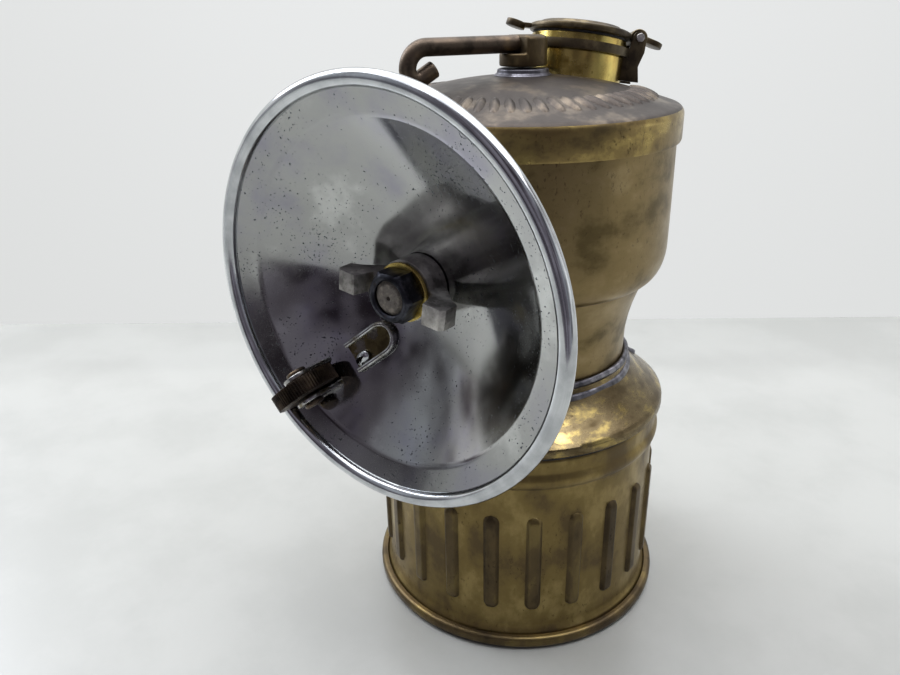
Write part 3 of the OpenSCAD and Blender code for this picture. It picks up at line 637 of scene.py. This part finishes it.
class LampSizes(bpy.types.PropertyGroup):
    """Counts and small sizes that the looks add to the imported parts"""
    grip_count: bpy.props.IntProperty(
        name="Grip ribs", description="Pressed ribs round the base", default=22, min=8, max=40)
    grip_width: bpy.props.FloatProperty(
        name="Grip width", description="Width of a pressed rib, in millimetres", default=2.9)
    crown_ribs: bpy.props.IntProperty(
        name="Crown ribs", description="Pressed ribs round the crown", default=56, min=12, max=72)
    knurls: bpy.props.IntProperty(
        name="Knurls", description="Teeth round the striker wheel", default=72, min=24, max=120)


class StageSizes(bpy.types.PropertyGroup):
    """The plain studio round the lamp"""
    floor_colour: colour_setting("Floor", "the pale floor", "#a9aaa5")
    light_power: bpy.props.FloatProperty(
        name="Light", description="Overall strength of the lights", default=1.0, min=0)


# ---- Base ----
class LAMP_OT_base(bpy.types.Operator):
    """Builds the drawn brass base, its crimped foot and its pressed grip ribs"""
    bl_idname = "lamp.base"
    bl_label = "Base"

    def execute(self, context):
        sizes = context.scene.lamp_sizes
        wall = BASE_R - SHEET - 0.1
        outer = [(0, 0.85), (BASE_R + 0.7, 0.85), (BASE_R + 0.7, FOOT_H - 0.1)]
        outer += [(BASE_R + 0.45, FOOT_H + 0.35), (BASE_R + 0.15, FOOT_H + 0.9),
                  (BASE_R, FOOT_H + 1.7), (BASE_R, BEAD_Z - 0.7), (BASE_R + 0.03, BEAD_Z - 0.3)]
        outer += arc(BEAD_R - 2, BEAD_Z + 1.7, 2, -49, 38, 12)
        outer += [(BEAD_R - 0.52, BEAD_Z + 3.4), (BEAD_R - 0.5, BEAD_Z + 4.2)]
        outer += arc(BEAD_R - 1.1, BASE_H - 0.6, 0.6, 0, 90, 6)
        inner = [(BASE_R - 0.8, BASE_H), (BASE_R - 0.85, BASE_H - 0.5)]
        for turn in range(2):
            z = BASE_H - 1.2 - turn * 2
            inner += [(BASE_R - 0.75, z), (BASE_R - 0.25, z - 0.5),
                      (BASE_R - 0.25, z - 1.0), (BASE_R - 0.75, z - 1.5)]
        inner += [(wall, BEAD_Z), (wall, 1.6), (wall - 0.6, 1.2), (0, 1.2)]

        def hand_made(a, r, z):
            return 0.035 * sin(3 * a + 0.09 * z) + 0.02 * sin(7 * a - 0.2 * z) if r > 20 else 0

        shell = lathe("base_shell", outer + inner, segments=ROUND, wobble=hand_made)
        dress(shell, "carbide_cup", "base", "aged_brass", "carbide_base")

        foot = [(0, 0), (FOOT_R - 1.6, 0), (FOOT_R - 0.7, 0.12)]
        foot += arc(FOOT_R - 0.9, 1.05, 0.9, -60, 0, 6) + arc(FOOT_R - 0.8, 1.6, 0.8, 0, 90, 8)
        foot += [(BASE_R + 0.95, FOOT_H), (BASE_R + 0.8, FOOT_H - 0.25),
                 (BASE_R + 0.75, 0.8), (0, 0.8)]
        crimp = lathe("base_foot", foot, segments=ROUND)
        dress(crimp, "carbide_cup", "rib", "brown_brass", "base_bottom")

        bm = bmesh.new()
        low, high, half = 7.3, 27.5, sizes.grip_width / 2
        rows, columns = 40, 14
        grid = []
        for i in range(rows + 1):
            z = low + (high - low) * i / rows
            to_end = min(z - low, high - z)
            width = half * sqrt(max(0.0, 1 - max(0.0, 1 - to_end / half) ** 2))
            line = []
            for k in range(columns + 1):
                u = 2 * k / columns - 1
                side = min(1.0, (1 - abs(u)) / 0.45)
                end = min(1.0, to_end / (half * 0.9))
                rise = 0.75 * side * side * (3 - 2 * side) * end * (2 - end)
                a = width * u / BASE_R
                r = BASE_R - 0.06 + rise
                line.append(bm.verts.new((r * cos(a), r * sin(a), z)))
            grid.append(line)
        add_grid(bm, grid)
        rib = finish_mesh(bm, "base_grips", crease=70)
        if rib.data.polygons[5].normal.x < 0:
            rib.data.flip_normals()
        # The grip ribs wear the darker rib finish, which holds painted shade of their shaded sides
        repeat_round(rib, "rib", sizes.grip_count, 360 * GRIP_PHASE / sizes.grip_count)
        dress(rib, "carbide_cup", "rib", "aged_brass")
        return {"FINISHED"}


# ---- Collar ----
class LAMP_OT_collar(bpy.types.Operator):
    """Builds the flared collar, its thread and the two solder beads"""
    bl_idname = "lamp.collar"
    bl_label = "Collar"

    def execute(self, context):
        outline = [(NECK_R + 0.03, NECK_Z0 + 4), (NECK_R + 0.03, NECK_Z0 + 2.2),
                   (NECK_R + 1.7, NECK_Z0 + 0.2), (LIP_R - 3.5, COLLAR_Z + 3.0),
                   (LIP_R - 1.5, COLLAR_Z + 1.6), (LIP_R - 0.7, COLLAR_Z + 0.9),
                   (LIP_R - 0.7, COLLAR_Z), (LIP_R - 0.2, COLLAR_Z), (LIP_R, COLLAR_Z + 0.25),
                   (LIP_R, COLLAR_Z + 1.25), (LIP_R - 0.18, COLLAR_Z + 1.7),
                   (LIP_R - 0.7, COLLAR_Z + 2.1), (LIP_R - 1.6, COLLAR_Z + 2.75),
                   (LIP_R - 2.9, COLLAR_Z + 3.75), (LIP_R - 4.2, COLLAR_Z + 4.75),
                   (NECK_R + 2.4, NECK_Z0 + 1.25), (NECK_R + 1.5, NECK_Z0 + 2.15),
                   (NECK_R + 0.85, NECK_Z0 + 3.1), (NECK_R + 0.7, NECK_Z0 + 4)]
        cone = lathe("collar", outline, segments=ROUND,
                     wobble=lambda a, r, z: 0.05 * sin(4 * a + z) if r > 22 else 0)
        dress(cone, BRASS_BODY, "collar", "bright_brass", "lower_collar")

        bm = bmesh.new()
        lumpy = lambda a, r, z: (0.1 * sin(5 * a) + 0.08 * sin(11 * a + 1)) * (r > NECK_R + 0.6)
        for z, thick, wide in ((NECK_Z0 + 2.35, 0.85, 1.45), (NECK_Z0 + 4.55, 0.65, 0.8)):
            bead = [(NECK_R + wide * 0.5 + thick * cos(t) * 0.9, z + thick * sin(t))
                    for t in turns(12)]
            bead = [(max(NECK_R + 0.03, r), h) for r, h in bead]
            add_lathe(bm, bead, 160, lumpy)
        drip = [(LIP_R - 5.6 + 3.1 * k / 8, NECK_Z0 + 1.3 - 2.6 * k / 8) for k in range(9)]
        a = radians(51)
        path = [(r * cos(a), r * sin(a), z + 0.1) for r, z in drip]
        add_sweep(bm, path, [1.1, 0.95, 0.75, 0.6, 0.55, 0.6, 0.75, 0.8, 0.35], 14, False, 1.0)
        beads = finish_mesh(bm, "solder_beads", crease=60)
        dress(beads, BRASS_BODY, "solder", "solder", "solder_bands")

        finish_copy("thread_ring", BRASS_BODY, "tank", "aged_brass", 0.0, 25)
        return {"FINISHED"}


# ---- Tank and cover ----
class LAMP_OT_tank(bpy.types.Operator):
    """Builds the spun tank, its domed cover and the pressed crown ribs"""
    bl_idname = "lamp.tank"
    bl_label = "Tank"

    def execute(self, context):
        sizes = context.scene.lamp_sizes
        swell = 0.48 * (TANK_R - NECK_R)
        wall = [(NECK_R, NECK_Z0), (NECK_R, NECK_Z1 - 3), (NECK_R + 0.03, NECK_Z1 - 1)]
        for i in range(11):
            t = i / 10
            wall.append((NECK_R + 0.06 + (swell - 0.06) * t ** 1.8,
                         NECK_Z1 + (SHOULDER_Z - 6 - NECK_Z1) * t))
        for i in range(1, 13):
            a = pi / 2 * i / 12
            wall.append((NECK_R + swell + (TANK_R - NECK_R - swell) * sin(a),
                         SHOULDER_Z - 6 * cos(a)))
        for i in range(1, 6):
            wall.append((TANK_R, SHOULDER_Z + (TANK_Z1 - SHOULDER_Z) * i / 5))
        inner = [(r - SHEET, z) for r, z in reversed(wall)]
        dent = lambda a, r, z: 0.04 * sin(2 * a + 0.1 * z) + 0.025 * sin(5 * a - 0.17 * z)
        tank = lathe("tank", wall + inner, segments=ROUND, wobble=dent)
        dress(tank, BRASS_BODY, "tank", "aged_brass", "tank_body")

        corner = COVER_R - 1.6
        fold = arc(corner, crown_height(corner) - 1.65, 1.6, 4, 74, 8)
        inside = [(r, crown_height(r) - SHEET) for r in (24.0 * i / 12 for i in range(13))]
        cover = fold[4:] + [(r, crown_height(r)) for r in
                            (corner * (1 - i / 24) for i in range(1, 24))] + [(0, CROWN_TOP)]
        top = lathe("cover", cover + inside, segments=ROUND)
        band = [(COVER_R - 0.12, BAND_Z0), (COVER_R, BAND_Z0 + 0.3),
                (COVER_R, crown_height(corner) - 1.7)]
        band += fold[:5] + [inside[-1], (TANK_R + 0.1, TANK_Z1 + 0.35),
                            (TANK_R + 0.1, BAND_Z0 + 0.1)]
        side = lathe("cover_band", band, segments=ROUND)
        dress(side, BRASS_BODY, "band", "aged_brass")
        hole = lathe("cover_hole", [(0, -6), (FILLER_R + 0.03, -6), (FILLER_R + 0.03, 6), (0, 6)],
                     FILLER, 64)
        cut(top, hole)
        dress(top, BRASS_BODY, "crown", "brown_brass", "top_cover")

        bm = bmesh.new()
        rows, columns, inside, outside = 14, 10, 17.3, 22.2
        grid = []
        for i in range(rows + 1):
            r = inside + (outside - inside) * i / rows
            t = i / rows
            line = []
            for k in range(columns + 1):
                u = 2 * k / columns - 1
                rise = 0.6 * min(1.0, (1 - abs(u)) / 0.8) ** 0.8 * sin(pi * t) ** 0.4
                a = (0.86 * u * sin(pi * max(0.04, min(0.96, t))) ** 0.3 + 0.9 * (t - 0.5)) / r
                line.append(bm.verts.new((r * cos(a), r * sin(a), crown_height(r) - 0.05 + rise)))
            grid.append(line)
        for i in range(rows):
            for k in range(columns):
                bm.faces.new((grid[i][k], grid[i + 1][k], grid[i + 1][k + 1], grid[i][k + 1]))
        rib = finish_mesh(bm, "crown_ribs", crease=70)
        if rib.data.polygons[5].normal.z < 0:
            rib.data.flip_normals()
        repeat_round(rib, "crown", sizes.crown_ribs, 0, FILLER_TURN - 5, 36)
        dress(rib, BRASS_BODY, "crown", "brown_brass")
        return {"FINISHED"}


# ---- Water valve ----
class LAMP_OT_valve(bpy.types.Operator):
    """Builds the valve's solder cone, its head and the bent lever"""
    bl_idname = "lamp.valve"
    bl_label = "Water valve"

    def execute(self, context):
        finish_copy("valve_gland", BRASS_BODY, "solder", "solder", 0.12, 40)
        finish_copy("valve_stem", "water_valve", "steel", "steel")
        finish_copy("valve_head", "water_valve", "rib", "aged_brass", 0.3)

        reach, bend, fold, stub, rise = 20.3, 3.2, 1.5, 2.6, 30
        bend_x, fold_x, fold_z = reach - bend, reach - fold, ROD_Z - bend
        path = [(1.26 + (bend_x - 1.26) * i / 8, 0, ROD_Z) for i in range(9)]
        path += [(x, 0, z) for x, z in arc(bend_x, fold_z, bend, 90, 0, 12)[1:]]
        path += [(x, 0, z) for x, z in arc(fold_x, fold_z, fold, 0, -90 - rise, 12)[1:]]
        ex, _, ez = path[-1]
        up, out = sin(radians(rise)), cos(radians(rise))
        ends = ((1.0, 1.0), (2.0, 1.0), (stub - 0.18, 1.0), (stub - 0.05, 0.95), (stub, 0.84),
                (stub + 0.005, 0.02))
        radii = [ROD_R] * len(path) + [ROD_R * wide for _, wide in ends]
        path += [(ex - out * far, 0, ez + up * far) for far, _ in ends]
        bm = bmesh.new()
        add_sweep(bm, path, radii, 28)
        rod = finish_mesh(bm, "lever", LEVER, 50)
        dress(rod, "water_valve", "lever", "brown_brass", "water_lever")
        return {"FINISHED"}


# ---- Filler ----
class LAMP_OT_filler(bpy.types.Operator):
    """Builds the filler neck, its hinge and the lid"""
    bl_idname = "lamp.filler"
    bl_label = "Filler"

    def execute(self, context):
        inner = FILLER_R - SHEET
        neck = [(inner, -1.5), (FILLER_R, -1.5), (FILLER_R, FILLER_H - 0.3),
                (FILLER_R - 0.1, FILLER_H - 0.05), (FILLER_R - 0.25, FILLER_H),
                (inner + 0.15, FILLER_H), (inner, FILLER_H - 0.15)]
        tube = lathe("filler_tube", neck, FILLER, 128)
        dress(tube, BRASS_BODY, "bright", "bright_brass", "filler_neck")
        finish_copy("hinge_bracket", BRASS_BODY, "lid", "aged_brass", 0.12, 28)
        finish_copy("hinge_pin", BRASS_BODY, "steel", "steel", 0.1, 28)

        h = LID_H0
        dome = [(0, h), (LID_R - 0.4, h), (LID_R - 0.1, h + 0.08), (LID_R, h + 0.35),
                (LID_R, h + 0.75), (LID_R - 0.14, h + 1.05), (LID_R - 0.45, h + 1.2),
                (LID_R - 0.8, h + 1.1), (LID_R - 1.1, h + 0.95), (LID_R - 1.35, h + 1.1),
                (LID_R - 1.6, h + 1.5), (LID_R - 2.0, h + 1.75), (LID_R - 2.5, h + 1.82),
                (LID_R - 4.4, h + 1.95), (LID_R - 4.8, h + 2.05), (LID_R - 5.2, h + 2.15),
                (3, h + 2.19), (0, h + 2.2)]
        bm = bmesh.new()
        add_lathe(bm, dome, 128)
        knuckle = Matrix.Translation((PIN_OUT, 0, PIN_H)) @ Matrix.Rotation(pi / 2, 4, "X")
        roll = bmesh.new()
        add_lathe(roll, [(0.75, -2.2), (1.4, -2.2), (1.5, -2.1), (1.5, 2.1), (1.4, 2.2),
                         (0.75, 2.2)], 40)
        bmesh.ops.transform(roll, matrix=knuckle, verts=roll.verts)
        part = bpy.data.meshes.new("roll")
        roll.to_mesh(part)
        roll.free()
        bm.from_mesh(part)
        slope = (Matrix.Translation((PIN_OUT + 0.9, 0, PIN_H + 0.1))
                 @ Matrix.Rotation(radians(14), 4, "Y"))
        tongue = [(0.3, -1.95), (2.1, -1.95)] + [(2.1 + 1.7 * cos(t), 1.95 * sin(t))
                 for t in (radians(-80 + 160 * k / 14) for k in range(15))]
        tongue += [(2.1, 1.95), (0.3, 1.95)]
        add_slab(bm, tongue, -0.45, 0.45, slope)
        add_slab(bm, [(LID_R - 1.4, -2.1), (LID_R + 0.7, -2.1), (LID_R + 0.7, 2.1),
                      (LID_R - 1.4, 2.1)], h + 0.35, h + 1.1)
        add_slab(bm, [(-LID_R - 1.4, -0.9), (-LID_R + 0.6, -1.1), (-LID_R + 0.6, 1.1),
                      (-LID_R - 1.4, 0.9)], h + 0.2, h + 0.95)
        tab = Matrix.Translation((-LID_R - 2.5, 0, h + 0.6)) @ Matrix.Rotation(radians(12), 4, "Y")
        disc = [(1.7 * cos(t), 1.7 * sin(t)) for t in turns(32)]
        add_slab(bm, disc, -0.55, 0.55, tab)
        lid = finish_mesh(bm, "lid", HINGE, 30)
        soften(lid, 0.14, 2, 50)
        dress(lid, "filler_cap", "lid", "brown_brass", "filler_lid")
        finish_copy("lid_gasket", "filler_cap", "rubber", "rubber")
        return {"FINISHED"}


# ---- Reflector ----
class LAMP_OT_reflector(bpy.types.Operator):
    """Builds the reflector's bowl, its rolled rim and the spark trough"""
    bl_idname = "lamp.reflector"
    bl_label = "Reflector"

    def execute(self, context):
        stations = [TUBE_R + 0.05 + (CREASE_R - TUBE_R - 0.05) * i / 44 for i in range(45)]
        stations += [CREASE_R + 0.5, CREASE_R + 2, DISH_EDGE - 0.6, DISH_EDGE]
        front = [(r, dish_height(r)) for r in stations]
        back = [(r, w - 0.5) for r, w in reversed(front)]
        bowl = lathe("bowl", front + back, BURNER, 256, 40)
        slot = lathe("bowl_slot", [(0, -WHEEL_W / 2 - 0.35), (WHEEL_R + 0.3, -WHEEL_W / 2 - 0.35),
                                   (WHEEL_R + 0.3, WHEEL_W / 2 + 0.35), (0, WHEEL_W / 2 + 0.35)],
                     WHEEL, 64)
        cut(bowl, slot)
        dress(bowl, "reflector_head", "mirror", "nickel", "reflector")
        ring = [(RIM_R - WIRE_R + WIRE_R * cos(t), RIM_FRONT - WIRE_R + WIRE_R * sin(t))
                for t in turns(24)]
        rim = lathe("rolled_rim", ring, BURNER, 256, 80)
        dress(rim, "reflector_head", "rim", "nickel")

        near, length, radius = -WHEEL_R - 0.4, 5.4, 2.3
        track = [(near, -radius)] + [(near - length * i / 8, -radius) for i in range(1, 8)]
        track += [(near - length + radius * cos(t), radius * sin(t))
                  for t in (radians(270 - 180 * k / 20) for k in range(21))]
        track += [(near - length * i / 8, radius) for i in range(7, 0, -1)] + [(near, radius)]
        bm = bmesh.new()
        inverse = BURNER.inverted() @ STRIKER
        def surface(x, y):
            at = inverse @ Vector((x, y, 0))
            return dish_height(sqrt(at.x ** 2 + at.y ** 2))
        path = [(x, y, surface(x, y) + 0.8) for x, y in track]
        add_sweep(bm, path, 0.42, 14)
        for (xa, ya), (xb, yb) in zip(track, track[1:]):
            add_slab_wall(bm, (xa, ya, surface(xa, ya)), (xb, yb, surface(xb, yb)), 0.85)
        trough = finish_mesh(bm, "trough", STRIKER, 45)
        dress(trough, "reflector_head", "fitting", "nickel", "spark_trough")

        bm = bmesh.new()
        rows = []
        for i in range(22):
            x = near + 0.2 - (length + radius) * i / 21.0
            round_end = max(0.0, near - length - x)
            half = sqrt(max(0.02, radius ** 2 - round_end ** 2)) - 0.05
            rows.append([bm.verts.new((x, half * k / 5, surface(x, half * k / 5) + 0.07
                                       + 0.12 * (k / 5) ** 2)) for k in range(-5, 6)])
        add_grid(bm, rows)
        bed = finish_mesh(bm, "trough_bed", STRIKER, 60)
        if bed.data.polygons[100].normal.y > 0:
            bed.data.flip_normals()
        dress(bed, "reflector_head", "scorched", "nickel")

        bm = bmesh.new()
        bmesh.ops.create_uvsphere(bm, u_segments=32, v_segments=20, radius=1)
        at = (near - 0.9, 1.0, surface(near - 0.9, 1.0) + 0.1)
        shape = (Matrix.Translation(at) @ Matrix.Rotation(radians(12), 4, "Z")
                 @ Matrix.Diagonal((1.9, 1.15, 0.75, 1)))
        bmesh.ops.transform(bm, matrix=shape, verts=bm.verts)
        hump = finish_mesh(bm, "trough_hump", STRIKER, 60)
        dress(hump, "reflector_head", "rim", "nickel")
        return {"FINISHED"}


def add_slab_wall(bm, a, b, high):
    """One stretch of the trough's thin wall, standing on the bowl."""
    a, b = Vector(a), Vector(b)
    across = (b - a).cross(Vector((0, 0, 1))).normalized() * 0.16
    up = Vector((0, 0, high))
    sink = Vector((0, 0, -0.15))
    low = [a + across + sink, b + across + sink, b - across + sink, a - across + sink]
    tops = [a + across + up, b + across + up, b - across + up, a - across + up]
    low = [bm.verts.new(p) for p in low]
    tops = [bm.verts.new(p) for p in tops]
    bm.faces.new(low)
    bm.faces.new(tops)
    for i in range(4):
        j = (i + 1) % 4
        bm.faces.new((low[i], low[j], tops[j], tops[i]))


# ---- Burner ----
class LAMP_OT_burner(bpy.types.Operator):
    """Builds the burner tube, the wing nut, the lock ring and the tip"""
    bl_idname = "lamp.burner"
    bl_label = "Burner"

    def execute(self, context):
        for node, body, finish, slot, bevel in (
                ("burner_tube", BRASS_BODY, "bright", "bright_brass", 0.0),
                ("burner_collar", BRASS_BODY, "solder", "solder", 0.0),
                ("reflector_washer", BRASS_BODY, "bright", "bright_brass", 0.08),
                ("wing_nut", "burner_nut", "steel", "steel", 0.35),
                ("lock_ring", BRASS_BODY, "bright", "bright_brass", 0.12),
                ("burner_tip", BRASS_BODY, "tip", "lava_ceramic", 0.12)):
            finish_copy(node, body, finish, slot, bevel)

        back, front, flat = HUB_FRONT + 0.02, RIM_FRONT - 4, 3.64
        outline = [(2.05, back - 2.4), (2.05, back), (4.2, back), (4.2, front - 0.75),
                   (3.75, front - 0.35), (3.35, front - 0.05), (3.2, front), (2.95, front),
                   (2.75, front - 0.12), (2.62, front - 0.3), (2.62, front - 2.3),
                   (0.9, front - 2.3), (0.9, back - 2.4)]

        def six_sided(a, r, w):
            turn = (a % (pi / 3)) - pi / 6
            return min(0.0, flat / cos(turn) - r)

        holder = lathe("tip_nut", outline, BURNER, 144, 30, six_sided)
        dress(holder, BRASS_BODY, "iron", "dark_iron", "tip_holder")
        return {"FINISHED"}


# ---- Striker ----
class LAMP_OT_striker(bpy.types.Operator):
    """Builds the striker's ears, its rivet, the knurled wheel and the flint tube"""
    bl_idname = "lamp.striker"
    bl_label = "Striker"

    def execute(self, context):
        sizes = context.scene.lamp_sizes
        for node, finish, slot, bevel in (
                ("striker_bracket", "fitting", "nickel", 0.15),
                ("striker_axle", "lever", "dark_iron", 0.3),
                ("flint_tube", "fitting", "nickel", 0.12),
                ("flint", "iron", "dark_iron", 0.0),
                ("flint_spring", "steel", "steel", 0.0),
                ("flint_cap", "bright", "bright_brass", 0.2)):
            finish_copy(node, "reflector_head", finish, slot, bevel)

        half = WHEEL_W / 2
        core = [(1.08, -half), (WHEEL_R - 0.9, -half), (WHEEL_R - 0.4, -half + 0.3),
                (WHEEL_R - 0.34, 0), (WHEEL_R - 0.4, half - 0.3), (WHEEL_R - 0.9, half),
                (3.1, half), (2.9, half - 0.2), (2.0, half - 0.2), (1.8, half), (1.08, half)]
        disc = lathe("wheel_core", core, WHEEL, 96)
        dress(disc, "spark_wheel", "wheel", "dark_iron", "striker_wheel")
        bm = bmesh.new()
        pitch = pi * WHEEL_R / sizes.knurls
        tooth = [(WHEEL_R - 0.6, -pitch * 0.92), (WHEEL_R - 0.02, -pitch * 0.22),
                 (WHEEL_R - 0.02, pitch * 0.22), (WHEEL_R - 0.6, pitch * 0.92)]
        add_slab(bm, tooth, -half + 0.12, half - 0.12)
        knurl = finish_mesh(bm, "wheel_knurl", crease=20)
        repeat_round(knurl, "wheel", sizes.knurls, place=in_metres(WHEEL))
        dress(knurl, "spark_wheel", "wheel", "dark_iron")
        return {"FINISHED"}


# ---- Cap fittings and inner parts ----
class LAMP_OT_fittings(bpy.types.Operator):
    """Finishes the cap hook and brace, and the parts inside the tank and collar"""
    bl_idname = "lamp.fittings"
    bl_label = "Fittings"

    def execute(self, context):
        for node, finish, slot, bevel in (
                ("cap_hook", "tank", "aged_brass", 0.15),
                ("hook_plate", "tank", "aged_brass", 0.15),
                ("cap_brace", "tank", "aged_brass", 0.0), ("tank_floor", "tank", "aged_brass", 0.0),
                ("drip_tube", "bright", "bright_brass", 0.0), ("felt_filter", "felt", "felt", 0.0),
                ("felt_plate", "bright", "bright_brass", 0.0),
                ("filter_clip", "steel", "steel", 0.0)):
            finish_copy(node, BRASS_BODY, finish, slot, bevel)
        finish_copy("base_gasket", "base_seal", "rubber", "rubber", 0.1)
        return {"FINISHED"}


# ---- Stage ----
def camera_place():
    """The camera's place and turn, in metres."""
    right = Vector((0.8084, 0.5883, -0.0188)).normalized()
    ahead = Vector((-0.5463, 0.7380, -0.3962))
    ahead = (ahead - right * ahead.dot(right)).normalized()
    up = right.cross(ahead)
    turn = Matrix((right, up, -ahead)).transposed().to_4x4()
    return Matrix.Translation(EYE * MM) @ turn


def soft_light(name, at, size, power, colour, target=(0, 0, 0.06)):
    """A square studio light that faces the lamp."""
    lamp = bpy.data.lights.new(name, "AREA")
    lamp.shape = "RECTANGLE"
    lamp.size, lamp.size_y = size
    lamp.energy = power
    lamp.color = tint(colour)[:3]
    piece = show(name, lamp)
    piece.location = at
    piece.rotation_euler = (Vector(target) - Vector(at)).to_track_quat("-Z", "Y").to_euler()
    return piece


class LAMP_OT_stage(bpy.types.Operator):
    """Builds the floor, the backdrop, the lights and the camera"""
    bl_idname = "lamp.stage"
    bl_label = "Stage"

    def execute(self, context):
        scene = context.scene
        kit = scene.lamp_stage
        heading = Vector((-0.5695, 0.8220, 0)).normalized()
        beside = Vector((heading.y, -heading.x, 0))
        start = Vector((EYE.x, EYE.y, 0)) * MM
        bm = bmesh.new()
        line = [(-0.06, 0.0), (0.1, 0.0), (0.2, 0.0), (TABLE_END - 0.001, 0.0)]
        line += [(TABLE_END, -0.002), (TABLE_END, -0.02)]
        rows = []
        for along, up in line:
            p = start + heading * along + Vector((0, 0, up - 0.00003))
            rows.append([bm.verts.new(p - beside * 2), bm.verts.new(p + beside * 2)])
        add_grid(bm, rows)
        mesh = bpy.data.meshes.new("floor")
        bm.to_mesh(mesh)
        bm.free()
        mesh.shade_smooth()
        floor = show("floor", mesh)
        material, tree, shader = new_material("White laminate")
        wear = grain(tree, 30, 6, 0.6, 41)
        colour = ramp(tree, wear.outputs["Fac"],
                      [(0.35, "#a1a29d"), (0.65, kit.floor_colour)])
        feed(tree, shader, {"Roughness": 0.32, "Base Color": colour.outputs[0]})
        floor.data.materials.append(material)

        middle = start + heading * WALL_AWAY
        wall_mesh = bpy.data.meshes.new("wall")
        wall_mesh.from_pydata([middle + beside * side + Vector((0, 0, up)) for side, up in
                               ((-3, -0.8), (3, -0.8), (3, 1.6), (-3, 1.6))], [], [(0, 1, 2, 3)])
        wall = show("wall", wall_mesh)
        paint, tree, shader = new_material("Lit white paper")
        feed(tree, shader, {"Base Color": tint("#808080"), "Roughness": 0.9,
                            "Emission Color": tint("#dfe1df"),
                            "Emission Strength": 0.85 * kit.light_power})
        wall.data.materials.append(paint)

        world = bpy.data.worlds.new("Pale room")
        scene.world = world
        world.use_nodes = True
        tree = world.node_tree
        tree.nodes.clear()
        where = add(tree, "ShaderNodeTexCoord")
        facing = add(tree, "ShaderNodeVectorMath", {"operation": "DOT_PRODUCT"},
                     {0: where.outputs["Generated"], 1: (0.35, -0.9, 0.2)})
        room = ramp(tree, facing.outputs["Value"],
                    [(0.0, "#e4e8e8"), (0.3, "#85898e"), (0.8, "#5e5b63")])
        things = add(tree, "ShaderNodeTexNoise", {"noise_dimensions": "3D"},
                     {"Vector": where.outputs["Generated"], "Scale": 2.6, "Detail": 3.0,
                      "Roughness": 0.55})
        shadow = ramp(tree, things.outputs["Fac"],
                      [(0.36, "#5b5356"), (0.5, "#c9c5c6"), (0.6, WHITE)])
        both = add(tree, "ShaderNodeMix", {"data_type": "RGBA", "blend_type": "MULTIPLY"},
                   {0: 1.0, 6: room.outputs[0], 7: shadow.outputs[0]})
        sky = add(tree, "ShaderNodeBackground", {},
                  {"Color": both.outputs[2], "Strength": 1.85 * kit.light_power})
        add(tree, "ShaderNodeOutputWorld", {}, {"Surface": sky.outputs[0]})

        power = kit.light_power
        soft_light("ceiling", (-0.1, 0.15, 0.8), (1.6, 1.1), 10.5 * power, "#f7f8ff")
        soft_light("window", (-0.65, -0.08, 0.45), (0.3, 0.3), 2.4 * power, "#eef3ff")
        soft_light("backdrop", (-0.12, 0.0, 0.7), (0.9, 0.3), 4.6 * power, "#fbfbff",
                   (-0.2, 0.4, 0.25))

        lens = bpy.data.cameras.new("camera")
        lens.lens = LENS
        lens.sensor_width = 36
        lens.clip_start = 0.005
        view = show("camera", lens)
        view.matrix_world = camera_place()
        scene.camera = view
        scene.view_settings.view_transform = "Standard"
        scene.view_settings.exposure = 0.0
        return {"FINISHED"}


class LAMP_PT_panel(bpy.types.Panel):
    """The lamp's pieces and finishes"""
    bl_idname = "LAMP_PT_panel"
    bl_label = "Carbide Lamp"
    bl_space_type = "VIEW_3D"
    bl_region_type = "UI"
    bl_category = "Lamp"

    def draw(self, context):
        for group in ("lamp_finish", "lamp_sizes", "lamp_stage"):
            values = getattr(context.scene, group)
            for name in values.__annotations__:
                self.layout.prop(values, name)
        for operator in OPERATORS:
            self.layout.operator(operator.bl_idname)


OPERATORS = (LAMP_OT_base, LAMP_OT_collar, LAMP_OT_tank, LAMP_OT_valve, LAMP_OT_filler,
             LAMP_OT_reflector, LAMP_OT_burner, LAMP_OT_striker, LAMP_OT_fittings, LAMP_OT_stage)
GROUPS = (("lamp_finish", LampFinish), ("lamp_sizes", LampSizes), ("lamp_stage", StageSizes))


def register():
    """Makes the lamp's settings and operators known to Blender."""
    for name, group in GROUPS:
        bpy.utils.register_class(group)
        setattr(bpy.types.Scene, name, bpy.props.PointerProperty(type=group))
    for operator in OPERATORS:
        bpy.utils.register_class(operator)
    bpy.utils.register_class(LAMP_PT_panel)


def unregister():
    """Takes them away again."""
    bpy.utils.unregister_class(LAMP_PT_panel)
    for operator in reversed(OPERATORS):
        bpy.utils.unregister_class(operator)
    for name, group in reversed(GROUPS):
        delattr(bpy.types.Scene, name)
        bpy.utils.unregister_class(group)


def main():
    """Registers the lamp's settings and operators and builds the lamp."""
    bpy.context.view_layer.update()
    register()
    for operator in OPERATORS:
        family, action = operator.bl_idname.split(".")
        getattr(getattr(bpy.ops, family), action)()


if __name__ == "__main__":
    main()
